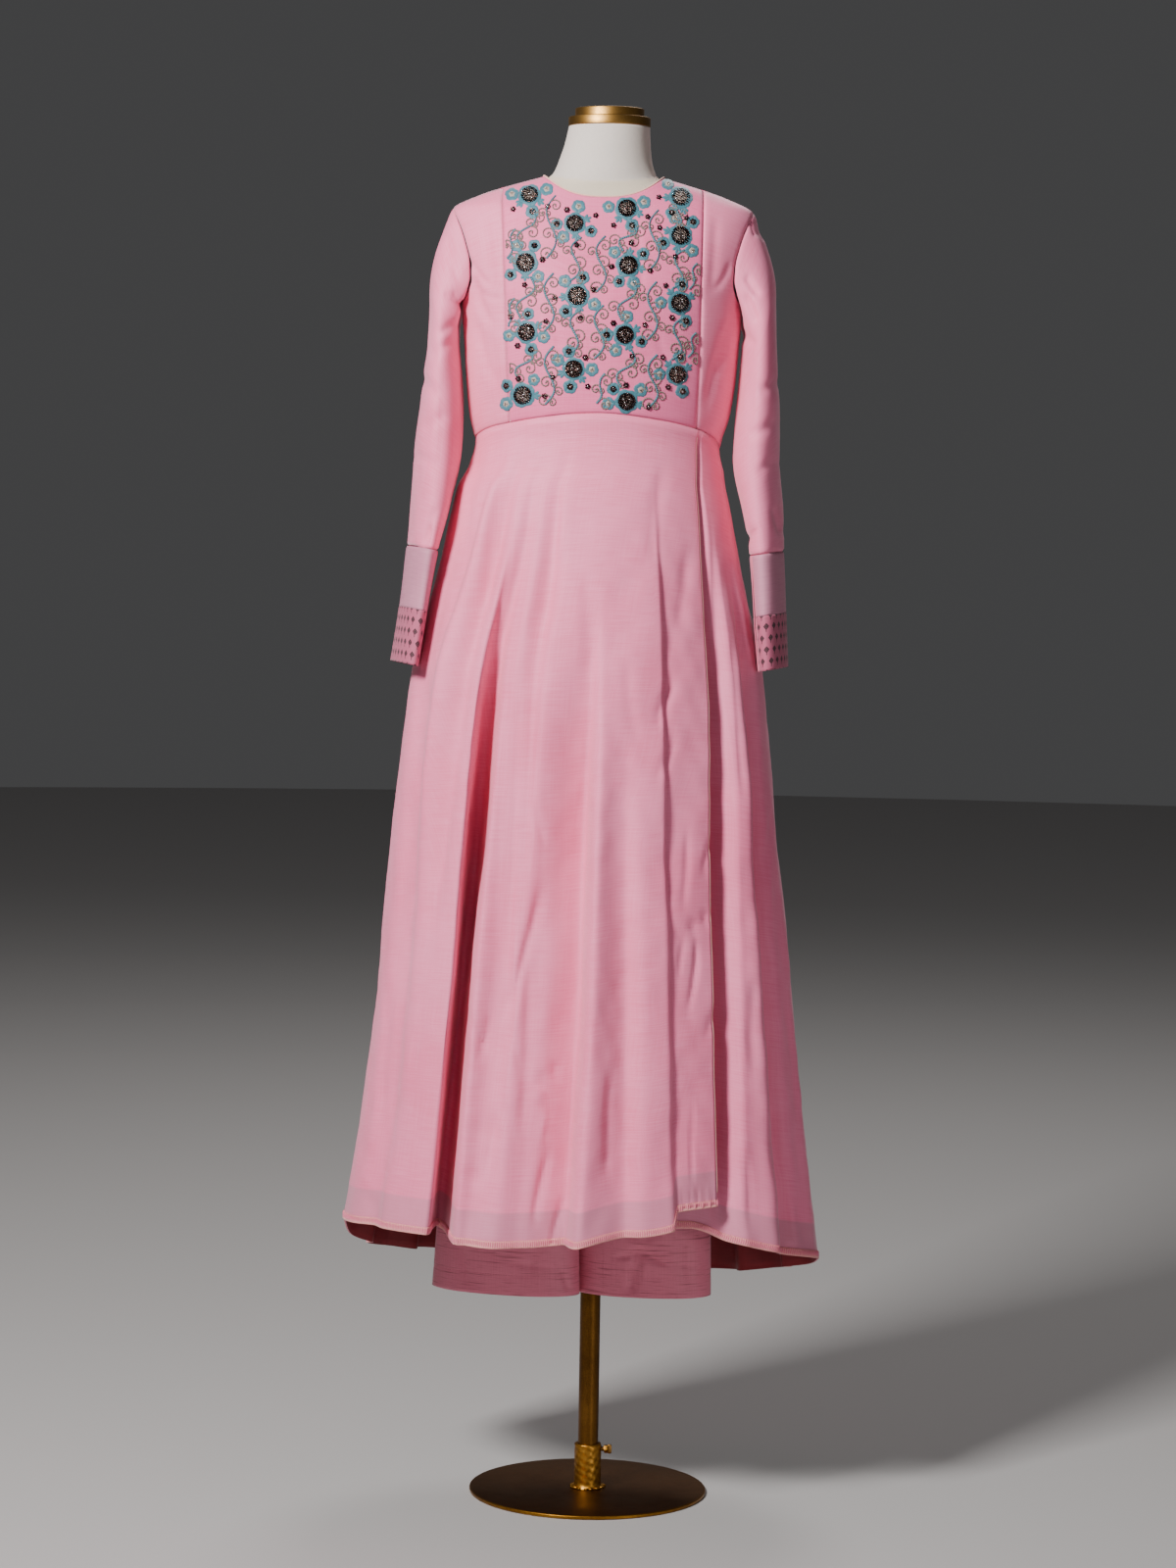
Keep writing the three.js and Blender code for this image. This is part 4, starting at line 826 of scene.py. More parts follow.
def yoke_edges():
    t = YOKE_ACROSS
    round_neck = pairs(*neckline(np.clip((t - NECK_FROM) / (1 - 2 * NECK_FROM), 0, 1), NECK_FRONT))
    left_top = pairs(*on_shoulder("left", np.clip(t / NECK_FROM, 0, 1)))
    right_top = pairs(*on_shoulder("right", np.clip((1 - t) / NECK_FROM, 0, 1)))
    neck_x = oval(BODICE, round_neck[:, 0], round_neck[:, 1])[:, 0]
    top = np.where((t < NECK_FROM)[:, None], left_top,
                   np.where((t > 1 - NECK_FROM)[:, None], right_top, pairs(neck_x, round_neck[:, 1])))
    left, right = (pairs(*yoke_seam(side, EDGE_ROWS)) for side in ("left", "right"))
    x = lerp(left[0, 0], right[0, 0], t)
    bottom = pairs(x, waist_seam(angle_of(x, NEAR_WAIST)))
    return left, right, bottom, top, t


def make_yoke():
    """The yoke is filled in distance across and height, then read as angles."""
    grid = patch(*yoke_edges())
    bodice_piece("yoke_panel", angle_of(grid[..., 0], grid[..., 1]), grid[..., 1], True, yoke_cloth)


def make_side_front(side, at):
    x, z = yoke_seam(side, EDGE_ROWS)
    inner = pairs(np.where(EDGE_ROWS == 1, at, angle_of(x, z)), z)
    outer = pairs(*outer_edge(EDGE_ROWS, at, True))
    t = np.linspace(0, 1, 24)
    low = lerp(inner[0, 0], outer[0, 0], t)
    grid = patch(inner, outer, pairs(low, waist_seam(low)), pairs(at, lerp(inner[-1, 1], SHOULDER_TIP, t)), t)
    bodice_piece(f"bodice_side_front_{side}", grid[..., 0], grid[..., 1], True, kurti_cloth)


def make_back(side, at):
    neck_share = 0.42
    centre = pairs(270, lerp(waist_seam(270), NECK_BACK, EDGE_ROWS))
    outer = pairs(*outer_edge(EDGE_ROWS, at, False))
    t = np.concatenate([np.linspace(0, neck_share, 24)[:-1], np.linspace(neck_share, 1, 34)])
    low = lerp(centre[0, 0], outer[0, 0], t)
    half = np.clip(t / neck_share, 0, 1) / 2
    angle, z = neckline(0.5 - half if side == "left" else 0.5 + half, NECK_BACK)
    beyond = lerp(NECK_SIDE, SHOULDER_TIP, np.clip((t - neck_share) / (1 - neck_share), 0, 1))
    on_neck = t < neck_share
    end = 180 if side == "left" else 360
    top = pairs(np.where(on_neck, 360 - angle, end), np.where(on_neck, z, beyond))
    grid = patch(centre, outer, pairs(low, waist_seam(low)), top, t)
    bodice_piece(f"bodice_back_panel_{side}", grid[..., 0], grid[..., 1], False, kurti_cloth)


make_yoke()
for side, at in (("left", 180), ("right", 0)):
    make_side_front(side, at)
    make_back(side, at)
print("bodice pieces:", [name for name in PIECES if "bodice" in name or "yoke" in name])

# %% [markdown]
# The yoke's embroidery is drawn as a generic floral layout in rows, in the photograph's colours and
# scale. Clusters stand in a half-drop lattice. Each has one large flower: overlapping teal petals in
# satin stitch round a centre of dark sequins. Small flowers, leaf sprays and beads stand round it, and
# teal vines and khaki tendrils join the clusters. Everything is placed by distance across and height on
# the yoke, then carried onto its surface, so it rides the cloth.

# %% Carrying a drawing onto the yoke
NEARBY = 0.5


def on_yoke(x, z, lift=0.0):
    """Points on the yoke's outer surface at distances across and heights, and the directions out."""
    x, z = np.broadcast_arrays(np.asarray(x, float), np.asarray(z, float))
    raw = []
    for across, height in ((x, z), (x + NEARBY, z), (x, z + NEARBY)):
        height = np.minimum(height, NECK_SIDE)
        raw.append(oval(BODICE, angle_of(across, height), height))
    n = np.cross(raw[1] - raw[0], raw[2] - raw[0])
    n /= np.linalg.norm(n, axis=-1, keepdims=True)
    n = np.where(n[..., 1:2] > 0, -n, n)
    flat_points, flat_n = raw[0].reshape(-1, 1, 3), n.reshape(-1, 1, 3)
    push = crease_depth(flat_points, flat_n, BODICE_CREASES, 1)
    push += unevenness(flat_points, **BODICE_SWELL) * smooth((SWELL_TOP - flat_points[..., 2]) / SWELL_FADE)
    point = flat_points - flat_n * push[..., None] + flat_n * lift
    return point.reshape(raw[0].shape), n


PADS = {"teal": [], "stone": []}
LINES = {"teal": [], "khaki": []}
SEQUIN_SPOTS, BEAD_SPOTS = [], []
SATIN_RIBS = 26
COILS = 1.3


def pad(kind, outline, lift=0.2, high=0.9, rings=5):
    """A raised shape of satin stitch: an outline round a middle, domed and lightly ribbed."""
    outline = np.array(outline)
    middle = outline.mean(0)
    count = len(outline)
    shares = np.cos(np.linspace(0, 0.5, rings) * np.pi)[:, None, None]
    flat = middle + (outline - middle) * shares
    dome = high * np.sqrt(np.clip(1 - shares[..., 0] ** 2, 0, 1)) + 0 * flat[..., 0]
    ribs = 0.10 * np.sin(np.arange(count) * SATIN_RIBS * 2 * np.pi / count) * (1 - shares[..., 0] ** 2)
    points, out = on_yoke(flat[..., 0], flat[..., 1])
    points = points + out * (dome + ribs - lift)[..., None]
    PADS[kind].append(points)


def petal(x, z, turn, length, width, bite=0.0):
    """A petal's outline from its root at x, z. Turn 0 points up."""
    t = np.linspace(0, 2 * np.pi, 26, endpoint=False)
    along = length * (1 - np.cos(t)) / 2
    across = width / 2 * np.sin(t) * (0.55 + 0.45 * (1 - np.cos(t)) / 2) * 1.15
    along = along - bite * np.exp(-((t - np.pi) / 0.35) ** 2)
    c, s = math.cos(turn), math.sin(turn)
    return np.stack([x + across * c + along * s, z + along * c - across * s], -1)


def ring_of(kind, x, z, radius, inner, petals, turn):
    length = radius - inner * 0.5
    for k in range(petals):
        a = turn + 2 * math.pi * k / petals
        root_x, root_z = x + inner * 0.5 * math.sin(a), z + inner * 0.5 * math.cos(a)
        width = 2 * radius * math.sin(math.pi / petals) * 1.12
        pad(kind, petal(root_x, root_z, a, length, width, bite=radius * 0.1), high=1.0)


def round_outline(x, z, radius):
    t = np.linspace(0, 2 * np.pi, 26, endpoint=False)
    return np.stack([x + radius * np.cos(t), z + radius * np.sin(t)], -1)


def flower(x, z, radius, turn, petals=6):
    """A large flower: teal petals, a stone ring and a centre full of sequins."""
    ring_of("teal", x, z, radius, radius * 0.5, petals, turn)
    hub = radius * 0.66
    pad("stone", round_outline(x, z, hub), high=1.35)
    for ring, count in ((0.0, 1), (0.26, 6), (0.52, 12), (0.76, 17), (0.96, 22)):
        for k in range(count):
            a = 2 * math.pi * k / count + ring * 2
            # A few inner sequins are silver: painted glints on the dark centre.
            glint_silver = ring < 0.6 and (k + int(x)) % 4 == 0
            far = hub * ring
            SEQUIN_SPOTS.append((x + far * math.cos(a), z + far * math.sin(a), 1.9 - 0.5 * ring, glint_silver))
    for k in range(14):
        a = 2 * math.pi * k / 14 + 0.1
        BEAD_SPOTS.append((x + hub * 1.02 * math.cos(a), z + hub * 1.02 * math.sin(a), 1.2, k % 3 == 0))
    BEAD_SPOTS.append((x, z, 2.4, 1))


def small_flower(x, z, radius, turn, dark):
    """A small flower with five petals round a few sequins or silver beads."""
    ring_of("teal", x, z, radius, radius * 0.45, 5, turn)
    hub = radius * 0.5
    pad("stone", round_outline(x, z, hub), high=1.25)
    if dark:
        bud(x, z, hub * 0.62, 7)
    else:
        for k in range(4):
            a = turn + 2 * math.pi * k / 3
            far = 0.35 * hub * (k > 0)
            BEAD_SPOTS.append((x + far * math.sin(a), z + far * math.cos(a), 1.5, k > 0))


def bud(x, z, radius, count):
    """A tight group of dark sequins with a bead on it."""
    # The bud's middle sequin and bead are silver: painted glints on the dark bud.
    SEQUIN_SPOTS.append((x, z, 1.9, True))
    for k in range(count):
        a = 2 * math.pi * k / count
        SEQUIN_SPOTS.append((x + radius * math.cos(a), z + radius * math.sin(a), 1.4, False))
    BEAD_SPOTS.append((x, z, 2.5, 1))


def leaf_spray(x, z, turn):
    """Three leaves that fan out from one root."""
    for lean in (-0.6, 0.0, 0.6):
        pad("teal", petal(x, z, math.pi / 2 - turn + lean, 8.6 + 1.6 * (lean == 0), 4.4), high=0.9)


def curve_on_yoke(kind, points):
    """A line of chain stitch through flat points, kept inside the yoke."""
    points = np.array(points)
    low = read(YOKE_SEAM, "left", points[:, 1]) + 4
    high = read(YOKE_SEAM, "right", points[:, 1]) - 4
    points[:, 0] = np.clip(points[:, 0], low, high)
    path, out = on_yoke(points[:, 0], points[:, 1])
    LINES[kind].append(path + out * 0.45)


def spiral(x, z, radius, turn, way):
    """A tendril: a stem that leaves x, z and curls into its own middle."""
    t = np.linspace(0, 1, 34)
    a = turn + math.pi + way * 2 * np.pi * COILS * t
    r = radius * (1 - t) ** 0.75
    middle_x, middle_z = x + radius * math.cos(turn), z + radius * math.sin(turn)
    return np.stack([middle_x + r * np.cos(a), middle_z + r * np.sin(a)], -1)


def vine(x0, z0, x1, z1, sway, leaves=5):
    """A teal S curve with khaki tendrils in turn on its two sides."""
    t = np.linspace(0, 1, 48)
    length = math.hypot(x1 - x0, z1 - z0)
    nx, nz = (z1 - z0) / length, -(x1 - x0) / length
    bend = sway * np.sin(2 * np.pi * t)
    path = np.stack([lerp(x0, x1, t) + nx * bend, lerp(z0, z1, t) + nz * bend], -1)
    curve_on_yoke("teal", path)
    for k in range(leaves):
        i = int(lerp(5, 42, k / max(leaves - 1, 1)))
        side = 1 if k % 2 else -1
        lean = math.atan2(nz * side, nx * side) + 0.5 * side
        size = (7.6, 6.0, 8.4)[k % 3]
        curve_on_yoke("khaki", spiral(path[i, 0], path[i, 1], size, lean, side))
        if k % 2:
            curve_on_yoke("khaki", spiral(path[i, 0], path[i, 1], size * 0.62, lean + 1.5 * side, -side))


# %% [markdown]
# The lattice: four columns, each dropped by half a repeat against its neighbours. A cluster's small
# flowers, leaves and buds stand round it in turn, with fixed seeds, so no two clusters are quite alike.

# %% Drawing the clusters
LATTICE = ((-99, (1618, 1534, 1450, 1374)), (-39, (1582, 1494, 1406)), (24, (1602, 1532, 1448, 1368)),
           (86, (1618, 1570, 1488, 1402)))
YOKE_ROOM = (-127, 111, 1354, 1640)
AROUND = ("dark flower", "leaves", "flower", "bud", "dark flower", "flower", "leaves")


def inside_yoke(x, z, margin):
    left, right, low, high = YOKE_ROOM
    near_neck = math.hypot((x - MIDDLE) / 1.25, (z - 1672)) < 62 + margin
    return left + margin < x < right - margin and low + margin < z < high - margin and not near_neck


rng = np.random.default_rng(41)
for column, (x, heights) in enumerate(LATTICE):
    for z in heights:
        x_at = x + rng.uniform(-3, 3)
        first = rng.uniform(0, 2 * math.pi)
        radius = rng.uniform(14.6, 16.2)
        flower(x_at, z, radius, first, petals=5 + (column + int(z)) % 2)
        for k, what in enumerate(AROUND):
            a = first + 2 * math.pi * (k + rng.uniform(-0.12, 0.12)) / len(AROUND)
            far = radius + (7.0 if "flower" in what else 4.6)
            sx, sz = x_at + far * math.cos(a), z + far * math.sin(a)
            if not inside_yoke(sx, sz, 5):
                continue
            if "flower" in what:
                small_flower(sx, sz, rng.uniform(7.8, 9.2), a, "dark" in what)
            elif what == "bud":
                bud(sx, sz, 2.5, 6)
            else:
                leaf_spray(x_at + radius * 0.8 * math.cos(a), z + radius * 0.8 * math.sin(a), a)
            if what == "leaves" and inside_yoke(x_at + 26 * math.cos(a), z + 26 * math.sin(a), 3):
                bud(x_at + 27 * math.cos(a), z + 27 * math.sin(a), 2.2, 5)
    for upper, lower in zip(heights[:-1], heights[1:]):
        vine(x + 6, upper - 18, x - 6, lower + 18, 8 if column % 2 else -8)
BETWEEN = ((-69, 1616, 1540), (-70, 1520, 1452), (-68, 1432, 1364), (-8, 1566, 1500), (-9, 1482, 1420),
           (-6, 1400, 1366), (56, 1600, 1528), (55, 1512, 1444), (57, 1424, 1362), (-117, 1574, 1540),
           (-117, 1490, 1458), (104, 1536, 1506), (104, 1452, 1424))
for x, high, low in BETWEEN:
    short = high - low < 40
    vine(x + 4, high, x - 4, low, 3 if short else 8, leaves=3 if short else 6)


# %% Making the threads, sequins and beads
def joined_pads(name, pads, thread):
    """All satin shapes of one thread as one mesh: quads between rings and a closing middle."""
    points, faces, base = [], [], 0
    for grid in pads:
        rings, count = grid.shape[:2]
        points += [grid.reshape(-1, 3), grid[-1].mean(0)[None]]
        faces += (np.array(grid_faces(rings - 1, count, True, turned=True)) + base).tolist()
        last, middle = base + (rings - 2) * count, base + rings * count
        faces += [(last + i, last + (i + 1) % count, middle) for i in range(count)]
        base = middle + 1
    mesh_of(name, np.concatenate(points), faces, thread).data.validate()


def spots_mesh(name, spots):
    """Points with their direction out, for sequins and beads."""
    spots = np.array(spots)
    points, out = on_yoke(spots[:, 0], spots[:, 1])
    base = mesh_of(name, points + out * spots[:, 2:3], [])
    base.data.attributes.new("facing", "FLOAT_VECTOR", "POINT").data.foreach_set("vector", out.ravel())
    return base


for name, thread in (("teal", teal_thread), ("stone", stone_thread)):
    joined_pads(f"embroidery_{name}_satin", PADS[name], thread)
stitched("embroidery_vines", LINES["teal"], teal_thread, pitch=2.6, along=3.6, across=3.2, raised=1.9)
stitched("embroidery_tendrils", LINES["khaki"], khaki_thread, pitch=2.8, along=3.8, across=2.1, raised=1.4)

# name, its spots, whether they are silver (painted glints among the sequins; real silver and painted glints
# among the beads), radius, thickness, tilt, sides, seed, finish
SHINE = (
    ("sequins", SEQUIN_SPOTS, 0, 1.45, 0.22, 0.34, 9, 3, sequin_dark),
    ("bright_sequins", SEQUIN_SPOTS, 1, 1.45, 0.22, 0.34, 9, 3, silver_bead_and_glint_metal),
    ("dark_beads", BEAD_SPOTS, 0, 0.62, 0.9, 0.5, 7, 5, sequin_dark),
    ("silver_beads", BEAD_SPOTS, 1, 0.68, 0.9, 0.5, 7, 8, silver_bead_and_glint_metal))
for name, spots, glint_silver, radius, thick, tilt, sides, seed, material in SHINE:
    base = spots_mesh(f"{name}_spots", [spot[:3] for spot in spots if spot[3] == glint_silver])
    grown(f"embroidery_{name}", base, SEQUINS, Radius=radius * MM, Thickness=thick * MM, Tilt=tilt,
          Sides=sides, Seed=seed, Material=material)
print("clusters:", sum(len(h) for _, h in LATTICE), "sequins:", len(SEQUIN_SPOTS), "beads:", len(BEAD_SPOTS))

# %% [markdown]
# A sleeve is one closed tube. It starts on the armhole's edge and settles into flattened ovals that hang
# beside the body, turned so that the front edge comes forward. The cuff and its printed band are the same
# tube cut open at a slit, so they are sheets bent into a C. Small gathers sit at the right sleeve's head.

# %% Sleeves and cuffs
SLEEVE_LEFT = sizes(
    "z x y thin deep turn",
    (1035, -244, -36, 13, 51, 16), (1115, -233, -30, 13.5, 52, 15), (1188, -223, -20, 17.5, 57, 13),
    (1240, -214, -12, 24, 64, 9), (1307, -206, -4, 29, 69, 4), (1395, -201.5, 0, 24.5, 70, 0),
    (1480, -202, 2, 18, 66, 0), (1560, -204, 2, 16, 62, 0), (1620, -204, 2, 16, 58, 0))
SLEEVE_RIGHT = sizes(
    "z x y thin deep turn",
    (1035, 214, -28, 17, 53, -11), (1115, 208, -24, 19, 54, -10), (1188, 203, -16, 21, 58, -9),
    (1240, 197, -10, 25, 64, -7), (1307, 189, -3, 29.5, 69, -3), (1395, 190, 0, 25, 70, 0),
    (1480, 191, 2, 20, 67, 0), (1560, 192, 2, 17, 62, 0), (1620, 193, 2, 16, 58, 0))
SLEEVE_END, CUFF_END, BAND_END = 1188, 1113, 1046
CUFF_DROP = 6
SLIT_LEFT = sizes("t wide", (1, 1.2), (2, 2.0), (3, 2.6))
SLIT_RIGHT = sizes("t wide", (1, 2.0), (2, 9.0), (3, 6.0))
SLEEVES = {"left": (SLEEVE_LEFT, SLIT_LEFT, 150), "right": (SLEEVE_RIGHT, SLIT_RIGHT, 138)}
ARMHOLE_LIFT = 0.5
HEAD_SHARE = 0.26
SLEEVE_LENGTH = 380


def sleeve_points(side, angle, t):
    """A sleeve's surface: angle 0 outside, 90 front, 180 inside; t 0 to 1 sleeve, to 2 cuff, to 3 band."""
    rows = SLEEVES[side][0]
    mirror = SIGNS[side]
    angle, t = np.broadcast_arrays(np.asarray(angle, float), np.asarray(t, float))
    share = (1 - np.cos(np.radians(angle))) / 2
    top_z = lerp(SHOULDER_TIP, UNDERARM, share)
    ratio = read(ARMHOLE, "out", top_z) / read(BODICE, "side", top_z)
    turn = np.degrees(np.arccos(np.clip(ratio, -1, 1))) * np.where(np.mod(angle, 360) <= 180, 1, -1)
    start = oval(BODICE, turn if side == "right" else 180 - turn, top_z)
    start[..., 0] += mirror * ARMHOLE_LIFT
    drop = CUFF_DROP * share
    end = np.where(t <= 1, SLEEVE_END, np.where(t <= 2, lerp(SLEEVE_END, CUFF_END, t - 1),
                                                lerp(CUFF_END, BAND_END, t - 2)))
    z = np.where(t <= 1, lerp(top_z, end - drop, np.maximum(t, 0)), end - drop)
    a = np.radians(angle)
    turned = np.radians(read(rows, "turn", z))
    x = read(rows, "thin", z) * np.cos(a) * mirror
    y = -read(rows, "deep", z) * np.sin(a)
    hung_x = read(rows, "x", z) + x * np.cos(turned) - y * np.sin(turned)
    hung_y = read(rows, "y", z) + x * np.sin(turned) + y * np.cos(turned)
    blend = np.sin(np.clip(t / HEAD_SHARE, 0, 1) * np.pi / 2)
    return np.stack([lerp(start[..., 0], hung_x, blend), lerp(start[..., 1], hung_y, blend), z], -1)


SLEEVE_CREASES = {
    "left": (
        (-190, 1500, -168, 1478, 4, 2.6, 1), (-176, 1480, -200, 1498, 4, 2.2, 0),
        (-182, 1463, -208, 1445, 5, 1.8, 1),
        (-184, 1440, -216, 1418, 6, 1.4, 2), (-212, 1213, -224, 1188, 4, 2.4, -1),
        (-206, 1236, -216, 1186, 5, 1.8, 2),
        (-198, 1572, -180, 1508, 5, 1.4, 2), (-236, 1400, -205, 1370, 7, 1.6, -2),
        (-190, 1350, -224, 1330, 7, 1.6, 2),
        (-236, 1300, -204, 1285, 6, 1.2, -2), (-226, 1530, -222, 1400, 7, 1.0, 2),
        (-200, 1400, -205, 1260, 6, 1.0, -2)),
    "right": (
        (169, 1525, 186, 1500, 4, 2.4, 1), (168, 1502, 184, 1467, 4, 2.4, -1),
        (164, 1461, 182, 1440, 5, 1.8, 1),
        (171, 1191, 187, 1217, 4, 2.0, -1), (209, 1242, 222, 1208, 5, 1.8, 1),
        (176, 1594, 181, 1574, 2.5, 2.0, 0),
        (182, 1596, 186, 1574, 2.5, 1.8, 0), (188, 1592, 191, 1570, 2.5, 1.6, 0),
        (176, 1330, 214, 1350, 7, 1.6, 2),
        (216, 1400, 186, 1384, 7, 1.5, -2), (214, 1520, 212, 1380, 7, 1.0, -2),
        (178, 1400, 184, 1270, 6, 1.0, 2),
        (218, 1300, 186, 1284, 6, 1.2, 2)),
}


def sleeve_grid(side, angles, rows, closed):
    points = sleeve_points(side, angles[None, :], rows[:, None])
    normals = normals_of(points, ring_core(points), closed)
    push = crease_depth(points, normals, SLEEVE_CREASES[side], 0)
    push += unevenness(points, 110, 0.8, 11) * smooth(rows[:, None] * 8)
    push += seam_dip(np.abs(points[..., 2] - points[0, :, 2][None]) * 0.8) * (rows[0] == 0)
    push += seam_dip((rows[:, None] - 1) * (SLEEVE_END - CUFF_END)) * (rows[:, None] >= 1)
    push += seam_dip((1 - rows[:, None]) * SLEEVE_LENGTH) * (rows[:, None] <= 1)
    return points - normals * push[..., None]


def make_sleeve(side):
    _, slit, at = SLEEVES[side]
    angles = np.linspace(0, 360, 81)[:-1]
    down = np.concatenate([np.linspace(0, 0.3, 40)[:-1], np.linspace(0.3, 1, 70)])
    points = sleeve_grid(side, angles, down, True)
    cloth(f"sleeve_tube_{side}", points, ring_core(points), kurti_cloth, lining_shade_cloth, closed=True)
    slit_paths = []
    for name, start, end, count, outside in ((f"cuff_sheet_{side}", 1, 2, 30, cuff_cloth),
                                             (f"cuff_band_sheet_{side}", 2, 3, 26, cuff_print)):
        down = np.linspace(start, end, count)
        wide = read(slit, "wide", down)[:, None]
        round_it = np.linspace(0, 1, 90)[None, :]
        angle = lerp(at + wide, at + 360 - wide, round_it)
        points = sleeve_points(side, angle, down[:, None])
        normals = normals_of(points, ring_core(points))
        below_sleeve = (down[:, None] - 1) * (SLEEVE_END - CUFF_END)
        push = unevenness(points, 90, 0.35, 12) + seam_dip(below_sleeve) * 0.8
        push = push - 0.35 * (start == 2)
        points = points - normals * push[..., None]
        cloth(name, points, ring_core(points), outside, cuff_print)
        slit_paths.append(points[start - 1:, [0, -1]])
    edge = np.concatenate(slit_paths)
    for label, k in (("front", 0), ("back", 1)):
        ups = np.broadcast_to((0.2, -1.0, 0.0), edge[:, k].shape)
        cord_mesh(f"cuff_slit_binding_{label}_{side}", edge[:, k], ups, 0.7, seam_thread, sides=8)


for side in SIGNS:
    make_sleeve(side)
print("sleeves and cuffs made")

# %% [markdown]
# The skirt has four panels on one flared form, each in angle and in its share of the way from waist to
# hem. The deep folds are the flare's own: troughs that start near the waist and open towards the hem,
# some with a soft slope on their left and a steep one on their right. The front panel laps over the
# under panel, and a pressed fold sets a strip of it back.

# %% The skirt's folds
HEM_FRONT = sizes("angle z", (53, 396), (65.5, 392), (67, 371), (83, 360), (97, 347), (111, 345), (123, 347),
                  (129, 356), (143, 355), (180, 344))
HEM_REST = sizes("angle z", (0, 301), (33, 330), (47.5, 348), (60, 369), (75, 372), (180, 344), (200, 300),
                 (225, 278), (270, 254), (300, 250), (335, 272), (360, 301))
FOLDS_FRONT = (
    ("side fold crease", 156, 152, 152, 10, 5, 6, 0.1, 0.7, 2, 0),
    ("soft start of the gap", 113, 123, 125, 10, 5, 3, 0.02, 0.2, 0.5, 0),
    ("hip ridge", 131, 147, 150, -8, 5, 3.5, 0.01, 0.12, 0.4, 0),
    ("hip groove", 125, 137, 141, 10, 4, 3.5, 0.02, 0.15, 0.5, 0),
    ("front panel roll", 121, 117, 119, 12, 5, 3, 0.15, 0.7, 2, 0),
    ("bust groove", 103, 109, 112, 12, 2.6, 4.5, 0.02, 0.2, 0.5, 0),
    ("lower bust groove", 113, 113, 113.5, 9, 2.2, 5, 0.25, 0.45, 0.85, 0),
    ("soft left groove", 104, 104, 107, 7, 3, 5, 0.35, 0.7, 2, 0),
    ("centre groove", 86, 90, 94.2, 42, 2.0, 13, 0.2, 0.55, 2, 0),
    ("centre ridge", 82, 86.4, 90.2, -7, 3.4, 2.0, 0.25, 0.6, 2, 0),
    ("soft right groove", 78, 78, 79, 15, 3, 5, 0.3, 0.75, 2, 0))
LEFT_GAP = ("left gap", 118, 124.6, 125.6, 92, 3.1, 2.3, 0.13, 0.6, 2, 1)
FOLDS_UNDER = (
    ("gap beside the overlap", 33, 43.2, 50.5, 34, 3.0, 3.0, 0.1, 0.4, 0.8, 1),
    ("right ridge", 26, 34, 37, -8, 4, 4, 0.15, 0.5, 2, 0),
    ("right groove", 20, 25.5, 28, 19, 3.0, 4.4, 0.1, 0.4, 2, 0),
    ("right side ridge", 10, 12, 15, -6, 4, 4, 0.3, 0.8, 2, 0))
FOLDS_BACK = (
    ("left back fold 1", 196, 198, 200, 22, 4, 4, 0.08, 0.6, 2, 0),
    ("left back fold 2", 216, 217, 219, 34, 4.2, 4.2, 0.05, 0.55, 2, 0),
    ("left back fold 3", 238, 240, 242, 26, 4, 4, 0.1, 0.6, 2, 0),
    ("left back fold 4", 256, 257, 258, 30, 3.8, 3.8, 0.05, 0.5, 2, 0),
    ("right back fold 4", 283, 283, 281, 28, 3.8, 3.8, 0.06, 0.55, 2, 0),
    ("right back fold 3", 301, 300, 298, 34, 4.2, 4.2, 0.08, 0.5, 2, 0),
    ("right back fold 2", 320, 319, 318, 24, 4, 4, 0.1, 0.6, 2, 0),
    ("right back fold 1", 341, 340, 340, 28, 4.2, 4.2, 0.08, 0.6, 2, 0))
STRIP_LINE, STRIP_BACK, STRIP_WIDE = (61, 65, 66.3), 8, 1.1
OVERLAP_LINE = (37.9, 48.4, 53.4)
TUCK_UNDER, TUCK_TOP, TUCK_LOW, TUCK_MARGIN, TUCK_BLEND = 13, 3.6, 24, 2.6, 5
FADE_SPAN = 0.2


def fold_depth(folds, angle, t):
    depth = 0
    for _, waist, mid, hem, deep, wide, left, grow, full, fade, box in folds:
        off = angle - line_at((waist, mid, hem), t)
        off = off / np.where(off > 0, left, wide)
        shape = np.exp(-np.abs(off) ** (4 if box else 2))
        faded = 1 if fade > 1 else 1 - smooth((t - fade) / FADE_SPAN)
        depth = depth + deep * shape * smooth((t - grow) / (full - grow)) * faded
    return depth


WAIST_BLEND = 0.03


def skirt_points(angle, t, hem, depth):
    """The skirt's form: from the waist seam to the hem, with its folds taken out of it."""
    turn = np.mod(angle, 360.0001)
    z = lerp(waist_seam(turn), read(hem, "z", turn), t)
    a = np.radians(turn)
    out = np.stack([np.cos(a), -np.sin(a), 0 * a], -1)
    settled = oval(SKIRT, turn, z) - out * np.asarray(depth)[..., None]
    return lerp(oval(BODICE, turn, z), settled, smooth(t / WAIST_BLEND)[..., None])


def front_skirt(angle, t):
    """The front panel: its left gap goes straight back, so that light from the left stays out."""
    set_back = STRIP_BACK * smooth((line_at(STRIP_LINE, t) - angle) / STRIP_WIDE / 2 + 0.5)
    strip = set_back * smooth((t - 0.04) / 0.26)
    points = skirt_points(angle, t, HEM_FRONT, fold_depth(FOLDS_FRONT, angle, t) + strip)
    points[..., 1] += fold_depth((LEFT_GAP,), angle, t)
    return points


def under_skirt(angle, t):
    tucked = lerp(TUCK_TOP, TUCK_LOW, smooth(t / 0.35))
    past = angle - line_at(OVERLAP_LINE, t) + TUCK_MARGIN
    beneath = smooth(past / lerp(1.2, TUCK_BLEND, smooth(t / 0.35)) + 1)
    return skirt_points(angle, t, HEM_REST, fold_depth(FOLDS_UNDER, angle, t) + tucked * beneath)


def back_skirt(angle, t):
    return skirt_points(angle, t, HEM_REST, fold_depth(FOLDS_BACK, angle, t))


# %% [markdown]
# Over the folds lie the small creases that a worn skirt keeps: the pressed lines of its folding, a few
# diagonal crumples, and the puckers above the strip's hem. The back has its own.

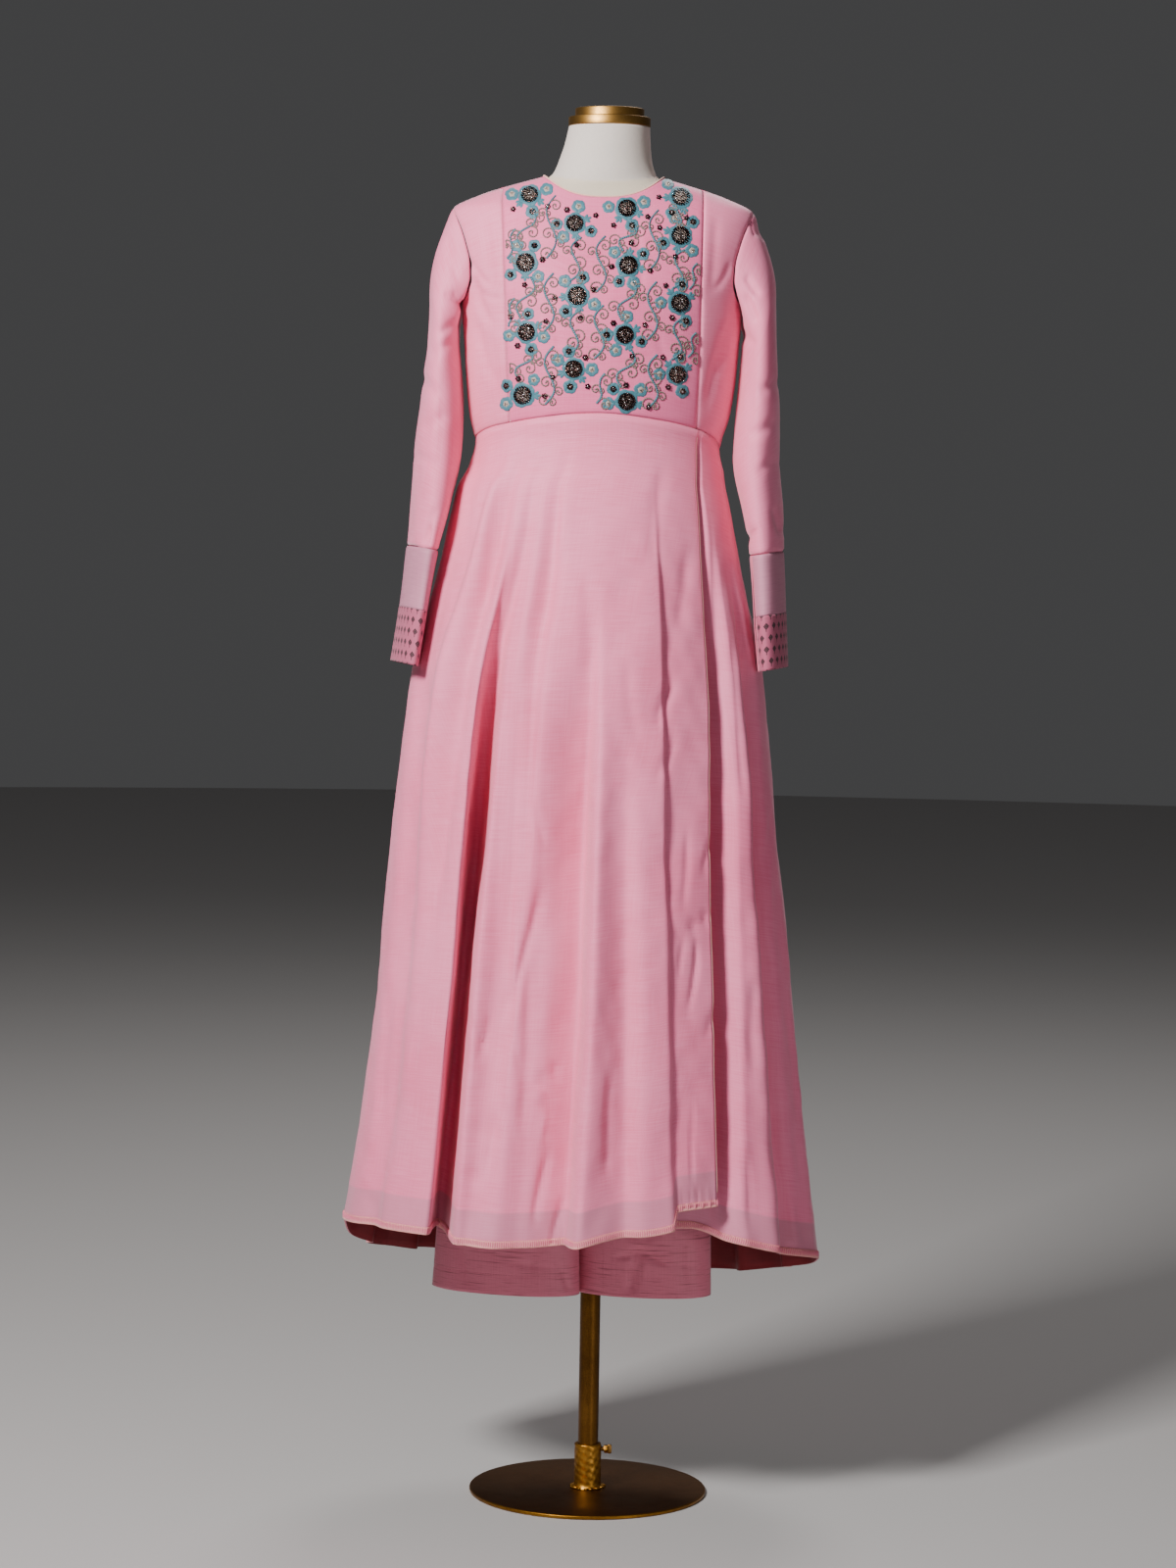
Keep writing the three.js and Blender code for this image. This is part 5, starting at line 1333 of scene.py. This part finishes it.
# %% The skirt's panels
FRONT_CREASES = (
    (-154, 543, -72, 545, 2.0, 1.7, 0), (-162, 483, -105, 482, 2.0, 1.6, 1),
    (-72, 545, -36, 567, 3, 2.6, 1),
    (-81, 523, -58, 535, 2.5, -2.2, 0), (-155, 625, -126, 584, 4, 2.4, 3),
    (-126, 626, -142, 566, 3, 2.2, -2),
    (-68, 774, -111, 626, 6, 3.6, -3), (-78, 876, -63, 838, 4, 2.4, 2), (-159, 428, -109, 432, 2.0, 1.3, 0),
    (-110, 520, -92, 470, 3, 1.8, 1), (-100, 600, -88, 560, 3, 1.6, 1), (-140, 400, -120, 372, 3, 1.5, 0),
    (-120, 505, -128, 440, 4, 1.8, -1), (-58, 508, -66, 468, 3, -1.6, 1), (-95, 655, -106, 590, 4, 2.0, 2),
    (-53, 461, -70, 374, 5, 3.4, 2), (-35, 401, -49, 350, 3, 3.2, 1), (19, 560, 19, 436, 6, 2.4, 2),
    (-80, 700, -88, 477, 6, 2.0, -2), (-175, 1234, -190, 1141, 8, 2.2, 3),
    (-15, 1027, -20, 1150, 9, 1.5, 2),
    (-63, 1096, -47, 1190, 8, 1.4, -3), (31, 1051, 47, 958, 8, 1.3, 3), (66, 911, 91, 965, 6, 1.8, 2),
    (70, 976, 87, 1032, 6, 2.0, -2), (94, 1099, 104, 1194, 8, 1.8, 2), (60, 1180, 72, 1290, 9, 1.2, -3),
    (95, 726, 147, 754, 3, 2.6, 3), (121, 718, 111, 635, 3.5, 2.4, -4), (107, 721, 101, 676, 3, 1.6, 2),
    (119, 520, 119, 428, 1.6, 1.8, 0), (103, 760, 108, 850, 4, 1.5, 2), (128, 800, 140, 842, 3.5, 1.5, -2),
    (132, 600, 150, 648, 4, 1.5, 2), (109, 414, 112, 396, 2, 1.5, 0), (117, 416, 120, 396, 2, 1.7, 0),
    (126, 415, 129, 396, 2, 1.8, 0), (135, 414, 139, 396, 2, 1.6, 0), (144, 413, 148, 397, 2, 1.4, 0),
    (-186, 1318, -214, 1216, 7, 2.2, 3), (-170, 1300, -186, 1226, 5, 1.8, 2),
    (-150, 1312, -172, 1180, 7, 1.8, 3),
    (-122, 1302, -140, 1120, 8, 1.3, 3), (-196, 1140, -236, 900, 9, 2.2, 3),
    (-250, 640, -262, 480, 7, 2.0, 4), (-276, 520, -286, 420, 6, 1.8, 3),
    (-232, 880, -246, 720, 7, 1.8, -4),
    (-210, 1010, -226, 900, 8, 1.6, 4), (-206, 620, -222, 560, 5, 1.4, 3),
    (-290, 400, -262, 372, 5, 1.2, 2))
UNDER_CREASES = (
    (161, 1098, 179, 881, 6, 1.8, 3), (202, 790, 215, 873, 4, 1.8, 2), (210, 754, 213, 826, 3, 1.6, -2),
    (195, 670, 195, 550, 6, 1.6, 3), (221, 502, 226, 420, 5, 1.8, 2), (234, 402, 243, 342, 4, 1.6, 1),
    (185, 454, 191, 369, 5, 1.4, -2), (252, 390, 262, 332, 4, 1.4, 0), (170, 1200, 182, 1120, 6, 1.4, 3),
    (240, 600, 252, 480, 5, 1.4, -3))
REAR_CREASES = (
    (-150, 560, -90, 566, 2.5, 1.2, 1), (-60, 1180, -90, 1060, 9, 1.8, 4), (30, 1220, 60, 1080, 9, 1.8, -4),
    (120, 1000, 150, 860, 8, 1.8, 4), (-170, 900, -196, 760, 8, 1.8, -4), (-20, 620, 30, 600, 5, 1.4, 4),
    (90, 540, 150, 520, 4, 1.3, 3), (-120, 430, -60, 420, 3, 1.2, 2), (180, 700, 214, 560, 7, 1.7, 4),
    (40, 430, 90, 446, 3, 1.2, -2), (-230, 560, -250, 430, 7, 1.6, 3), (0, 900, 20, 760, 8, 1.4, 3),
    (-90, 760, -60, 660, 6, 1.4, -3))
TRIM_TALL = 9
SKIRT_ROWS = 110
STEP_DEGREES = 0.78
PANELS = {
    "front": (front_skirt, OVERLAP_LINE, (180, 180, 180), FRONT_CREASES, 1),
    "under": (under_skirt, (0, 0, 0), tuple(a + TUCK_UNDER for a in OVERLAP_LINE), UNDER_CREASES, 1),
    "back_left": (back_skirt, (180, 180, 180), (270, 270, 270), REAR_CREASES, -1),
    "back_right": (back_skirt, (270, 270, 270), (360, 360, 360), REAR_CREASES, -1),
}
SEWN_SIDES = {"front": (-1,), "under": (0,), "back_left": (0, -1), "back_right": (0, -1)}
AXIS = np.array((-15, 0, 0.0))


def panel_grid(name, t):
    """A panel's points at each share of the way down, and its directions out."""
    surface, start, end, rows, facing = PANELS[name]
    count = int((end[1] - start[1]) / STEP_DEGREES)
    across = np.linspace(0, 1, count)[None, :]
    t = t[:, None]
    angle = lerp(line_at(start, t), line_at(end, t), across)
    points = surface(angle, t + 0 * angle)
    core = np.broadcast_to(AXIS, points[:, :1].shape) + points[:, :1] * (0, 0, 1)
    normals = normals_of(points, core)
    push = crease_depth(points, normals, rows, facing)
    push += unevenness(points, 190, 1.5, 21) * smooth(t / 0.25)
    push += unevenness(points, 70, 0.45, 22) * smooth(t / 0.2)
    length = points[0, :, 2] - points[-1, :, 2]
    push += seam_dip(t * length[None])
    for column in SEWN_SIDES[name]:
        away = np.linalg.norm(points - points[:, [column]], axis=-1)
        push += 0.6 * seam_dip(away)
    return points - normals * push[..., None], normals, core, (1 - t) * length[None]


EDGE_PATHS = {}
for name in PANELS:
    down = np.linspace(0, 1, SKIRT_ROWS)
    points, normals, core, above = panel_grid(name, down)
    cloth(f"skirt_panel_{name}", points, core, skirt_cloth, lining_shade_cloth, marks={"above_hem": above * MM})
    EDGE_PATHS[name] = points[:, 0], normals[:, 0], points[:, 1]
    area = np.linalg.norm(np.cross(points[1:, :-1] - points[:-1, :-1], points[:-1, 1:] - points[:-1, :-1]),
                          axis=-1).sum() * MM * MM
    hem = np.linalg.norm(np.diff(points[-1], axis=0), axis=-1).sum()
    top = np.linalg.norm(np.diff(points[0], axis=0), axis=-1).sum()
    print(f"{name}: area {area:.3f} m2, hem {hem:.0f}, waist {top:.0f}, length {above.max():.0f} mm")

# %% [markdown]
# The hem is bound with a pinkish cream tape, 9 mm tall, with pink ribs and a row of pink stitches along
# its top. The tape is a thin sheet moved out from the panel's last rows. Its ribs are stitches of the
# same tree, stood up.

# %% Hem tapes, their ribs and the overlap's piping
TAPE_LIFT = 0.9
MEAN_LENGTH = 960.0
RIB_PITCH = 2.7

for name in PANELS:
    shares = 1 - np.linspace(TRIM_TALL, 0, 7) / MEAN_LENGTH
    points, normals, core, _ = panel_grid(name, shares)
    tape = points + normals * TAPE_LIFT
    cloth(f"hem_tape_{name}", tape, core, trim_tape, thick=TAPE_LIFT + 0.2)
    middle = points[3] + normals[3] * (TAPE_LIFT + 0.1)
    stitched(f"hem_tape_ribs_{name}", [middle], seam_thread, pitch=RIB_PITCH, along=2.0,
             across=TRIM_TALL - 0.6, raised=1.1)
    top_edge = points[0] + normals[0] * (TAPE_LIFT + 0.1)
    stitched(f"hem_stitches_{name}", [top_edge], seam_thread, pitch=2.6, along=2.0, across=0.6, raised=0.6)

PIPING_RADIUS = 0.8
edge, out, inside = EDGE_PATHS["front"]
beyond = edge - inside
beyond /= np.linalg.norm(beyond, axis=1, keepdims=True)
cord_mesh("overlap_piping_cord", (edge + beyond * 0.6 - out * 0.8)[1:-2], out[1:-2], PIPING_RADIUS,
          piping_cotton)
for label, inset in (("outer", 2.2), ("inner", 5.0)):
    path = (edge - beyond * inset + out * 0.15)[2:-3]
    path = path[:26] if label == "inner" else path
    stitched(f"overlap_stitches_{label}", [path], seam_thread, pitch=3.0, along=2.0, across=0.45, raised=0.4)

# %% [markdown]
# The neckline is finished with a very thin cream piping. It stands on the yoke's and the backs' top edge.

# %% Neck piping
share = np.linspace(0, 1, 90)[:-1]
front_neck = oval(BODICE, *neckline(share, NECK_FRONT))
angle, z = neckline(1 - share, NECK_BACK)
neck_path = np.concatenate([front_neck, oval(BODICE, 360 - angle, z)])
inward = np.array((MIDDLE, 0, 0)) - neck_path * (1, 1, 0)
inward /= np.linalg.norm(inward, axis=1, keepdims=True)
cord_mesh("neck_piping_cord", neck_path + inward * 0.5 + (0, 0, 0.6), -inward, 0.95, piping_cotton,
          closed=True)

# %% [markdown]
# The pants hang straight under the skirt. Each half is one sheet from the centre front round the side to
# the centre back, which closes into a leg below the crotch. Their turned hems show, with a stitched
# line, a pressed seam down the right leg's front and a pulled pucker beside it.

# %% Pants
HIPS = sizes("z middle side front back", (905, -6, 163, 110, 117), (1060, -6, 162.5, 108.5, 116.5),
             (1150, -6, 145, 102, 105), (1197, -6, 134.4, 96.6, 93.4))
LEG_LEFT = sizes("z x y wide deep lean", (257, -107, -4, 83.5, 50, 40), (600, -102, -2, 78.5, 64, 22),
                 (1000, -97, 2, 73.5, 88, 0))
LEG_RIGHT = sizes("z x y wide deep lean", (257, 63.5, -4, 84.5, 50, 20), (600, 65, -2, 86, 64, 12),
                  (1000, 68, 2, 89, 88, 0))
HIPS_END, LEGS_START, PANTS_HEM, PANTS_TOP, WAISTBAND = 980, 905, 257, 1234, 37
PANTS_CLOTH = 1.4
TURNED_HEM = 26
PANTS_CREASES = {
    "left": ((-150, 420, -120, 300, 6, 2.0, 3), (-60, 380, -80, 280, 6, 1.6, -2),
              (-40, 300, -26, 262, 3, 1.4, 0),
             (-168, 330, -150, 262, 4, 1.5, 1), (-110, 300, -40, 292, 3, 0.8, 0)),
    "right": ((18, 340, 18, 256, 1.6, 1.2, 0), (60, 322, 50, 262, 5, 4.2, 1), (62, 318, 92, 300, 3, 2.6, 1),
              (58, 316, 34, 306, 3, 2.4, -1), (66, 330, 84, 345, 3, 2.2, 0), (54, 330, 40, 350, 3, 2.2, 0),
              (120, 330, 126, 262, 5, 1.2, 1), (96, 300, 140, 296, 3, 0.8, 0)),
}


def pants_points(side, share, z):
    rows = LEG_LEFT if side == "left" else LEG_RIGHT
    mirror = SIGNS[side]
    share, z = np.broadcast_arrays(share, z)
    hip = oval(HIPS, np.mod(lerp(90, 270 if side == "left" else -90, share), 360), z)
    a = np.radians(360 * share)
    x = read(rows, "x", z) - mirror * read(rows, "wide", z) * np.cos(a)
    y = read(rows, "y", z) - read(rows, "deep", z) * np.sin(a)
    leg = np.stack([x + read(rows, "lean", z) * np.sin(a), y, z], -1)
    return lerp(hip, leg, smooth((HIPS_END - z) / (HIPS_END - LEGS_START))[..., None])


for side in SIGNS:
    heights = np.concatenate([
        np.linspace(PANTS_TOP - WAISTBAND, LEGS_START, 16)[:-1], np.linspace(LEGS_START, 420, 18)[:-1],
        np.linspace(420, PANTS_HEM, 52)])[:, None]
    share = np.linspace(0, 1, 100)[None, :]
    points = pants_points(side, share, heights)
    core = ring_core(points)
    normals = normals_of(points, core)
    push = crease_depth(points, normals, PANTS_CREASES[side], 1) + unevenness(points, 150, 1.2, 31)
    push += 0.5 * np.exp(-((heights - PANTS_HEM - TURNED_HEM) / 1.2) ** 2)
    points = points - normals * push[..., None]
    cloth(f"pants_half_{side}", points, core, pants_silk, thick=PANTS_CLOTH)
    row = int(np.argmin(np.abs(heights[:, 0] - PANTS_HEM - TURNED_HEM)))
    hem_line = points[row] + normals[row] * 0.2
    stitched(f"pants_hem_stitches_{side}", [hem_line], seam_thread, pitch=3.4, along=2.2)
    if side == "right":
        column = int(np.argmin(np.abs(points[-1, :65, 0] - 18)))
        seam = points[-46:, column] + normals[-46:, column] * 0.15
        stitched("pants_front_seam_stitches", [seam], seam_thread, pitch=3.0, along=1.8)

angles = np.linspace(0, 360, 145)[:-1][None, :]
band_z = np.linspace(PANTS_TOP, PANTS_TOP - WAISTBAND, 14)[:, None]
band = oval(FORM, angles, band_z)
band = band + normals_of(band, ring_core(band), True) * 2.6
band += normals_of(band, ring_core(band), True) * (0.4 * np.sin(np.radians(angles * 40)))[..., None]
cloth("pants_waistband_band", band, ring_core(band), pants_silk, thick=2.0, closed=True)
print("pants made")

# %% [markdown]
# The stand is turned metal: a disc with an eased rim, a cast collar welded to it with lumpy spots, a
# tube, a screw and a stepped cap. A profile spun round the pole makes each, fine enough to look round.

# %% The form and its stand
def turned_mesh(name, profile, material, sides=128, wobble=None, bored=False):
    """A closed round piece about the pole, from radius and height pairs. Its profile starts and ends on
    the axis, or closes on itself where the piece is bored."""
    profile = np.array(profile, float)
    turn = np.linspace(0, 2 * np.pi, sides, endpoint=False)
    body = profile if bored else profile[1:-1]
    count = len(body)
    radius = np.repeat(body[:, :1], sides, 1)
    height = np.repeat(body[:, 1:], sides, 1)
    if wobble is not None:
        radius += wobble(turn[None, :], height) * (radius > POLE_RADIUS + 1)
    points = np.stack([radius * np.cos(turn), radius * np.sin(turn), height], -1).reshape(-1, 3)
    faces = grid_faces(count, sides, True, bored, turned=True)
    if not bored:
        first, last = len(points), (count - 1) * sides
        points = np.concatenate([points, [[0, 0, profile[0, 1]], [0, 0, profile[-1, 1]]]])
        for i in range(sides):
            k = (i + 1) % sides
            faces += [(first, k, i), (first + 1, last + i, last + k)]
    piece = mesh_of(name, points, faces, material)
    edges = piece.modifiers.new("crisp", "BEVEL")
    edges.width = 0.25 * MM
    edges.limit_method = "ANGLE"
    edges.angle_limit = math.radians(40)
    edges.harden_normals = True
    return piece


BASE_RADIUS, POLE_RADIUS, COLLAR_RADIUS, COLLAR_TOP = 149, 12.7, 16.8, 61
CLAMP_HEIGHT, NECK_TOP = 53.5, 1707
disc = turned_mesh("base_plate", [
    (0, 0), (BASE_RADIUS - 1.2, 0), (BASE_RADIUS, 1.0), (BASE_RADIUS, 4.0), (BASE_RADIUS - 0.6, 4.7),
    (BASE_RADIUS - 1.5, 5), (60, 5), (0, 5)], disc_bronze, sides=200)
disc.data.materials.append(rim_brass)
for face in disc.data.polygons:
    if math.hypot(face.center.x, face.center.y) > (BASE_RADIUS - 1.3) * MM:
        face.material_index = 1


def cast_skin(turn, height):
    return 0.22 * np.sin(5 * turn + height * 0.7) + 0.16 * np.sin(11 * turn - height * 0.45 + 1.3)


rise = [(COLLAR_RADIUS, z) for z in np.linspace(12, COLLAR_TOP - 1, 24)]
turned_mesh("pole_collar_cast", [(13.0, 5.2), (19.6, 5.2), (18.0, 7.4), (17.0, 9.5)] + rise
            + [(COLLAR_RADIUS - 0.9, COLLAR_TOP), (13.0, COLLAR_TOP)],
            cast_brass, sides=96, wobble=cast_skin, bored=True)
tube_rows = [(POLE_RADIUS, z) for z in np.linspace(5.4, 989.6, 40)]
turned_mesh("pole_tube", [(0, 5.4)] + tube_rows + [(0, 989.6)], aged_brass, sides=96)
turned_mesh("neck_cap_turned", [
    (0, 1707.2), (49.6, 1707.2), (50.5, 1708.1), (50.5, 1717.6), (50.1, 1718.2), (49.4, 1718.4),
    (43.6, 1718.6), (42.7, 1719.0), (42.5, 1719.6), (42.5, 1728.2), (42.1, 1728.9), (41.4, 1729.2),
    (20, 1729.7), (0, 1730.1)],
    brushed_brass, sides=160)


def lump(name, balls, material, shaping):
    """Several balls in one piece, each with its points shaped, from centre and size."""
    points, faces = [], []
    for centre, size in balls:
        base = len(points)
        for j in range(1, BALL_ROWS + 1):
            tilt = np.pi * j / (BALL_ROWS + 1)
            for i in range(BALL_SIDES):
                turn = 2 * np.pi * i / BALL_SIDES
                way = np.array((np.sin(tilt) * np.cos(turn), np.sin(tilt) * np.sin(turn), np.cos(tilt)))
                points.append(centre + shaping(way, centre) * size)
        points += [centre + shaping(np.array((0, 0, way)), centre) * size for way in (1.0, -1.0)]
        faces += (np.array(grid_faces(BALL_ROWS, BALL_SIDES, True)) + base).tolist()
        last, top, foot = base + (BALL_ROWS - 1) * BALL_SIDES, len(points) - 2, len(points) - 1
        for i in range(BALL_SIDES):
            k = (i + 1) % BALL_SIDES
            faces += [(top, base + i, base + k), (foot, last + k, last + i)]
    mesh_of(name, np.array(points), faces, material)


def melted(way, at):
    """A weld's lumpy skin: each direction is pushed out or in by a slow ripple."""
    return way * (1 + 0.14 * np.sin(3 * way[0] + 4 * way[1] + at[0]))


BALL_ROWS, BALL_SIDES = 7, 16
WELD_SPOTS, WELD_RADIUS = 15, 19.0
rng = np.random.default_rng(7)
spots = []
for spot in range(WELD_SPOTS):
    turn = 2 * np.pi * spot / WELD_SPOTS + rng.uniform(-0.12, 0.12)
    size = rng.uniform(1.8, 3.2)
    place = (WELD_RADIUS * np.cos(turn), WELD_RADIUS * np.sin(turn), 5.1 + size * 0.55)
    spots.append((np.array(place), np.array((1.45, 1.45, 0.6)) * size))
lump("collar_weld", spots, cast_brass, melted)
lump("clamp_grip", [(np.array((27.2, 0, CLAMP_HEIGHT)), np.array((2.7, 1.5, 6.0)))], brushed_brass,
     lambda way, at: np.sign(way) * np.abs(way) ** 0.5)


def along_x(name, start, end, radii, sides, material, flat=False):
    """A small turned piece along X at the clamp's height."""
    turn = np.linspace(0, 2 * np.pi, sides, endpoint=False)
    x = np.linspace(start, end, len(radii))[:, None]
    r = np.array(radii)[:, None]
    rings = np.stack([np.repeat(x, sides, 1), r * np.cos(turn), CLAMP_HEIGHT + r * np.sin(turn)], -1)
    piece = tube(name, rings, material, turned=True)
    if flat:
        piece.data.shade_flat()


along_x("clamp_shank", 13.2, 20.6, 2.8 + 0.18 * np.sin(np.linspace(0, 60, 60)), 24, brushed_brass)
along_x("clamp_hex", 20.2, 25.1, (4.9, 5.5, 5.5, 5.5, 4.9), 6, cast_brass, flat=True)
along_x("clamp_neck", 25.0, 26.0, (2.2, 2.0, 2.2), 20, cast_brass)

COVER_EDGE, COVER_SAG = 1646, 9
form_z = np.concatenate([np.linspace(NECK_TOP, 1590, 52)[:-1], np.linspace(1590, 990, 34)])[:, None]
form_angles = np.linspace(0, 360, 113)[:-1][None, :]
form = oval(FORM, form_angles, form_z)
edge_z = COVER_EDGE - COVER_SAG * np.clip(np.sin(np.radians(form_angles)), 0, 1) ** 1.5
base_cover = 1 - smooth((form[..., 2] - edge_z) / 1.2 + 0.5)
out = normals_of(form, ring_core(form), True)
lift = 0.55 * base_cover * smooth((form[..., 2] - 1585) / 20)
lift -= 0.3 * np.exp(-((form[..., 2] - edge_z - 0.6) / 0.9) ** 2)
form = form + out * lift[..., None]


def closing_rings(ring, shares):
    """Smaller rings that carry an end's edge in to its middle."""
    centre = ring.mean(0)
    return np.stack([centre + (ring - centre) * share for share in shares])


whole = np.concatenate([closing_rings(form[0], (0.02, 0.5, 0.97)), form,
                        closing_rings(form[-1], (0.97, 0.5, 0.02))])
down, count = whole.shape[:2]
faces = grid_faces(down, count, True, turned=True)
faces += [tuple(reversed(range(count))), tuple(range((down - 1) * count, down * count))]
cover = np.concatenate([np.zeros((3, count)), base_cover, np.ones((3, count))])
mesh_of("form_torso_cover", whole.reshape(-1, 3), faces, form_jersey, uv=pattern_of(whole),
        marks={"base_cover": cover})
print("stand made:", len(PIECES), "pieces so far")

# %% [markdown]
# Every piece is attached to the body it moves with, and where it stands for a solid, that solid is hidden.
# The skirt panels' flat sizes are listed below: a panel's width along its hem by its length, and the cut's
# own area where it isn't a rectangle. Nothing is done with them.

# %% What each piece stands for
ON_BASE = ("base_plate", "pole_collar_cast", "collar_weld")
ON_CLAMP = ("clamp_shank", "clamp_hex", "clamp_neck", "clamp_grip")
STANDS_FOR = {
    "base_plate": ("base_disc", "bronze_disc"), "pole_collar_cast": ("pole_collar", "aged_brass"),
    "pole_tube": ("pole", "aged_brass"), "neck_cap_turned": ("neck_cap", "brushed_brass"),
    "clamp_hex": ("clamp_screw", "brushed_brass"), "form_torso_cover": ("form_torso", "form_cotton"),
    "yoke_panel": ("yoke_front", "yoke_cloth"), "neck_piping_cord": ("neck_piping", "trim"),
    "overlap_piping_cord": ("overlap_piping", "trim"),
    "pants_waistband_band": ("pants_waistband", "pants_silk"),
}
for side in SIGNS:
    STANDS_FOR[f"bodice_side_front_{side}"] = (f"bodice_front_{side}", "kurti_cloth")
    STANDS_FOR[f"bodice_back_panel_{side}"] = (f"bodice_back_{side}", "kurti_cloth")
    STANDS_FOR[f"sleeve_tube_{side}"] = (f"sleeve_{side}", "kurti_cloth")
    STANDS_FOR[f"cuff_sheet_{side}"] = (f"cuff_{side}", "cuff_cloth")
    STANDS_FOR[f"cuff_band_sheet_{side}"] = (f"cuff_band_{side}", "cuff_print")
    STANDS_FOR[f"pants_half_{side}"] = (f"pants_{side}", "pants_silk")
for name in PANELS:
    STANDS_FOR[f"skirt_panel_{name}"] = (f"skirt_{name}", "kurti_cloth")
    STANDS_FOR[f"hem_tape_{name}"] = (f"hem_trim_{name}", "trim")

for name, piece in PIECES.items():
    body = "stand_base" if name in ON_BASE else "clamp" if name in ON_CLAMP else "dressed_form"
    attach(piece, body)
    if name in STANDS_FOR:
        node, slot = STANDS_FOR[name]
        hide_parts(node)

# name: flat width, flat length, flat area; what each panel hangs from is found, and neither is kept
for name, width, length, area in (("front", 0.757, 1.000, 0.590), ("under", 0.330, 1.004, 0.256),
                                  ("back_left", 0.506, 1.047, 0.396), ("back_right", 0.506, 1.061, 0.402)):
    above = [f"bodice_back_panel_{name[5:]}"] if "back" in name else ["yoke_panel", "bodice_side_front_right"]


# %% [markdown]
# The photograph's camera stands 5 m back and 1.25 m up, looks 4 degrees down and leans by 1 degree.

# %% Camera, light and floor
CAMERA_AT = Vector((-0.0135, -5.0, 1.253))
LENS, SENSOR = 92.25, 36.0
PITCH, ROLL = math.radians(4.1), math.radians(0.93)

look = Vector((0, math.cos(PITCH), -math.sin(PITCH)))
up = Vector((0, math.sin(PITCH), math.cos(PITCH)))
right = Vector((1, 0, 0))
leaning_up = up * math.cos(ROLL) - right * math.sin(ROLL)
leaning_right = right * math.cos(ROLL) + up * math.sin(ROLL)
camera = bpy.data.objects.new("camera", bpy.data.cameras.new("camera"))
bpy.context.scene.collection.objects.link(camera)
camera.data.lens = LENS
camera.data.sensor_width = SENSOR
camera.matrix_world = Matrix((leaning_right, leaning_up, -look)).transposed().to_4x4()
camera.location = CAMERA_AT
bpy.context.scene.camera = camera


def soft_light(name, place, aim, size, power):
    lamp = bpy.data.lights.new(name, "AREA")
    lamp.size = size
    lamp.energy = power
    thing = bpy.data.objects.new(name, lamp)
    thing.location = place
    thing.rotation_euler = (Vector(aim) - Vector(place)).to_track_quat("-Z", "Y").to_euler()
    bpy.context.scene.collection.objects.link(thing)


soft_light("key", (-1.8, -2.4, 3.0), (0, 0, 1.5), 0.7, 262)
soft_light("fill", (2.4, -3.5, 0.5), (0, 0, 0.45), 0.9, 26)
soft_light("back", (0.5, 3.0, 4.2), (0, 0, 1.0), 1.6, 60)

world = bpy.data.worlds.new("pale_room")
world.use_nodes = True
world.node_tree.nodes["Background"].inputs[0].default_value = (0.92, 0.92, 0.94, 1)
world.node_tree.nodes["Background"].inputs[1].default_value = 0.065
bpy.context.scene.world = world

turn = np.linspace(0, 2 * np.pi, 96, endpoint=False)
floor_mesh = bpy.data.meshes.new("floor")
floor_mesh.from_pydata([(12 * math.cos(t), 12 * math.sin(t), 0) for t in turn], [], [tuple(range(96))])
floor = bpy.data.objects.new("floor", floor_mesh)
pale = Finish("pale_floor", roughness=0.6)
pale.shader.inputs["Base Color"].default_value = srgb(176, 172, 170)
floor_mesh.materials.append(pale.material)
bpy.context.scene.collection.objects.link(floor)
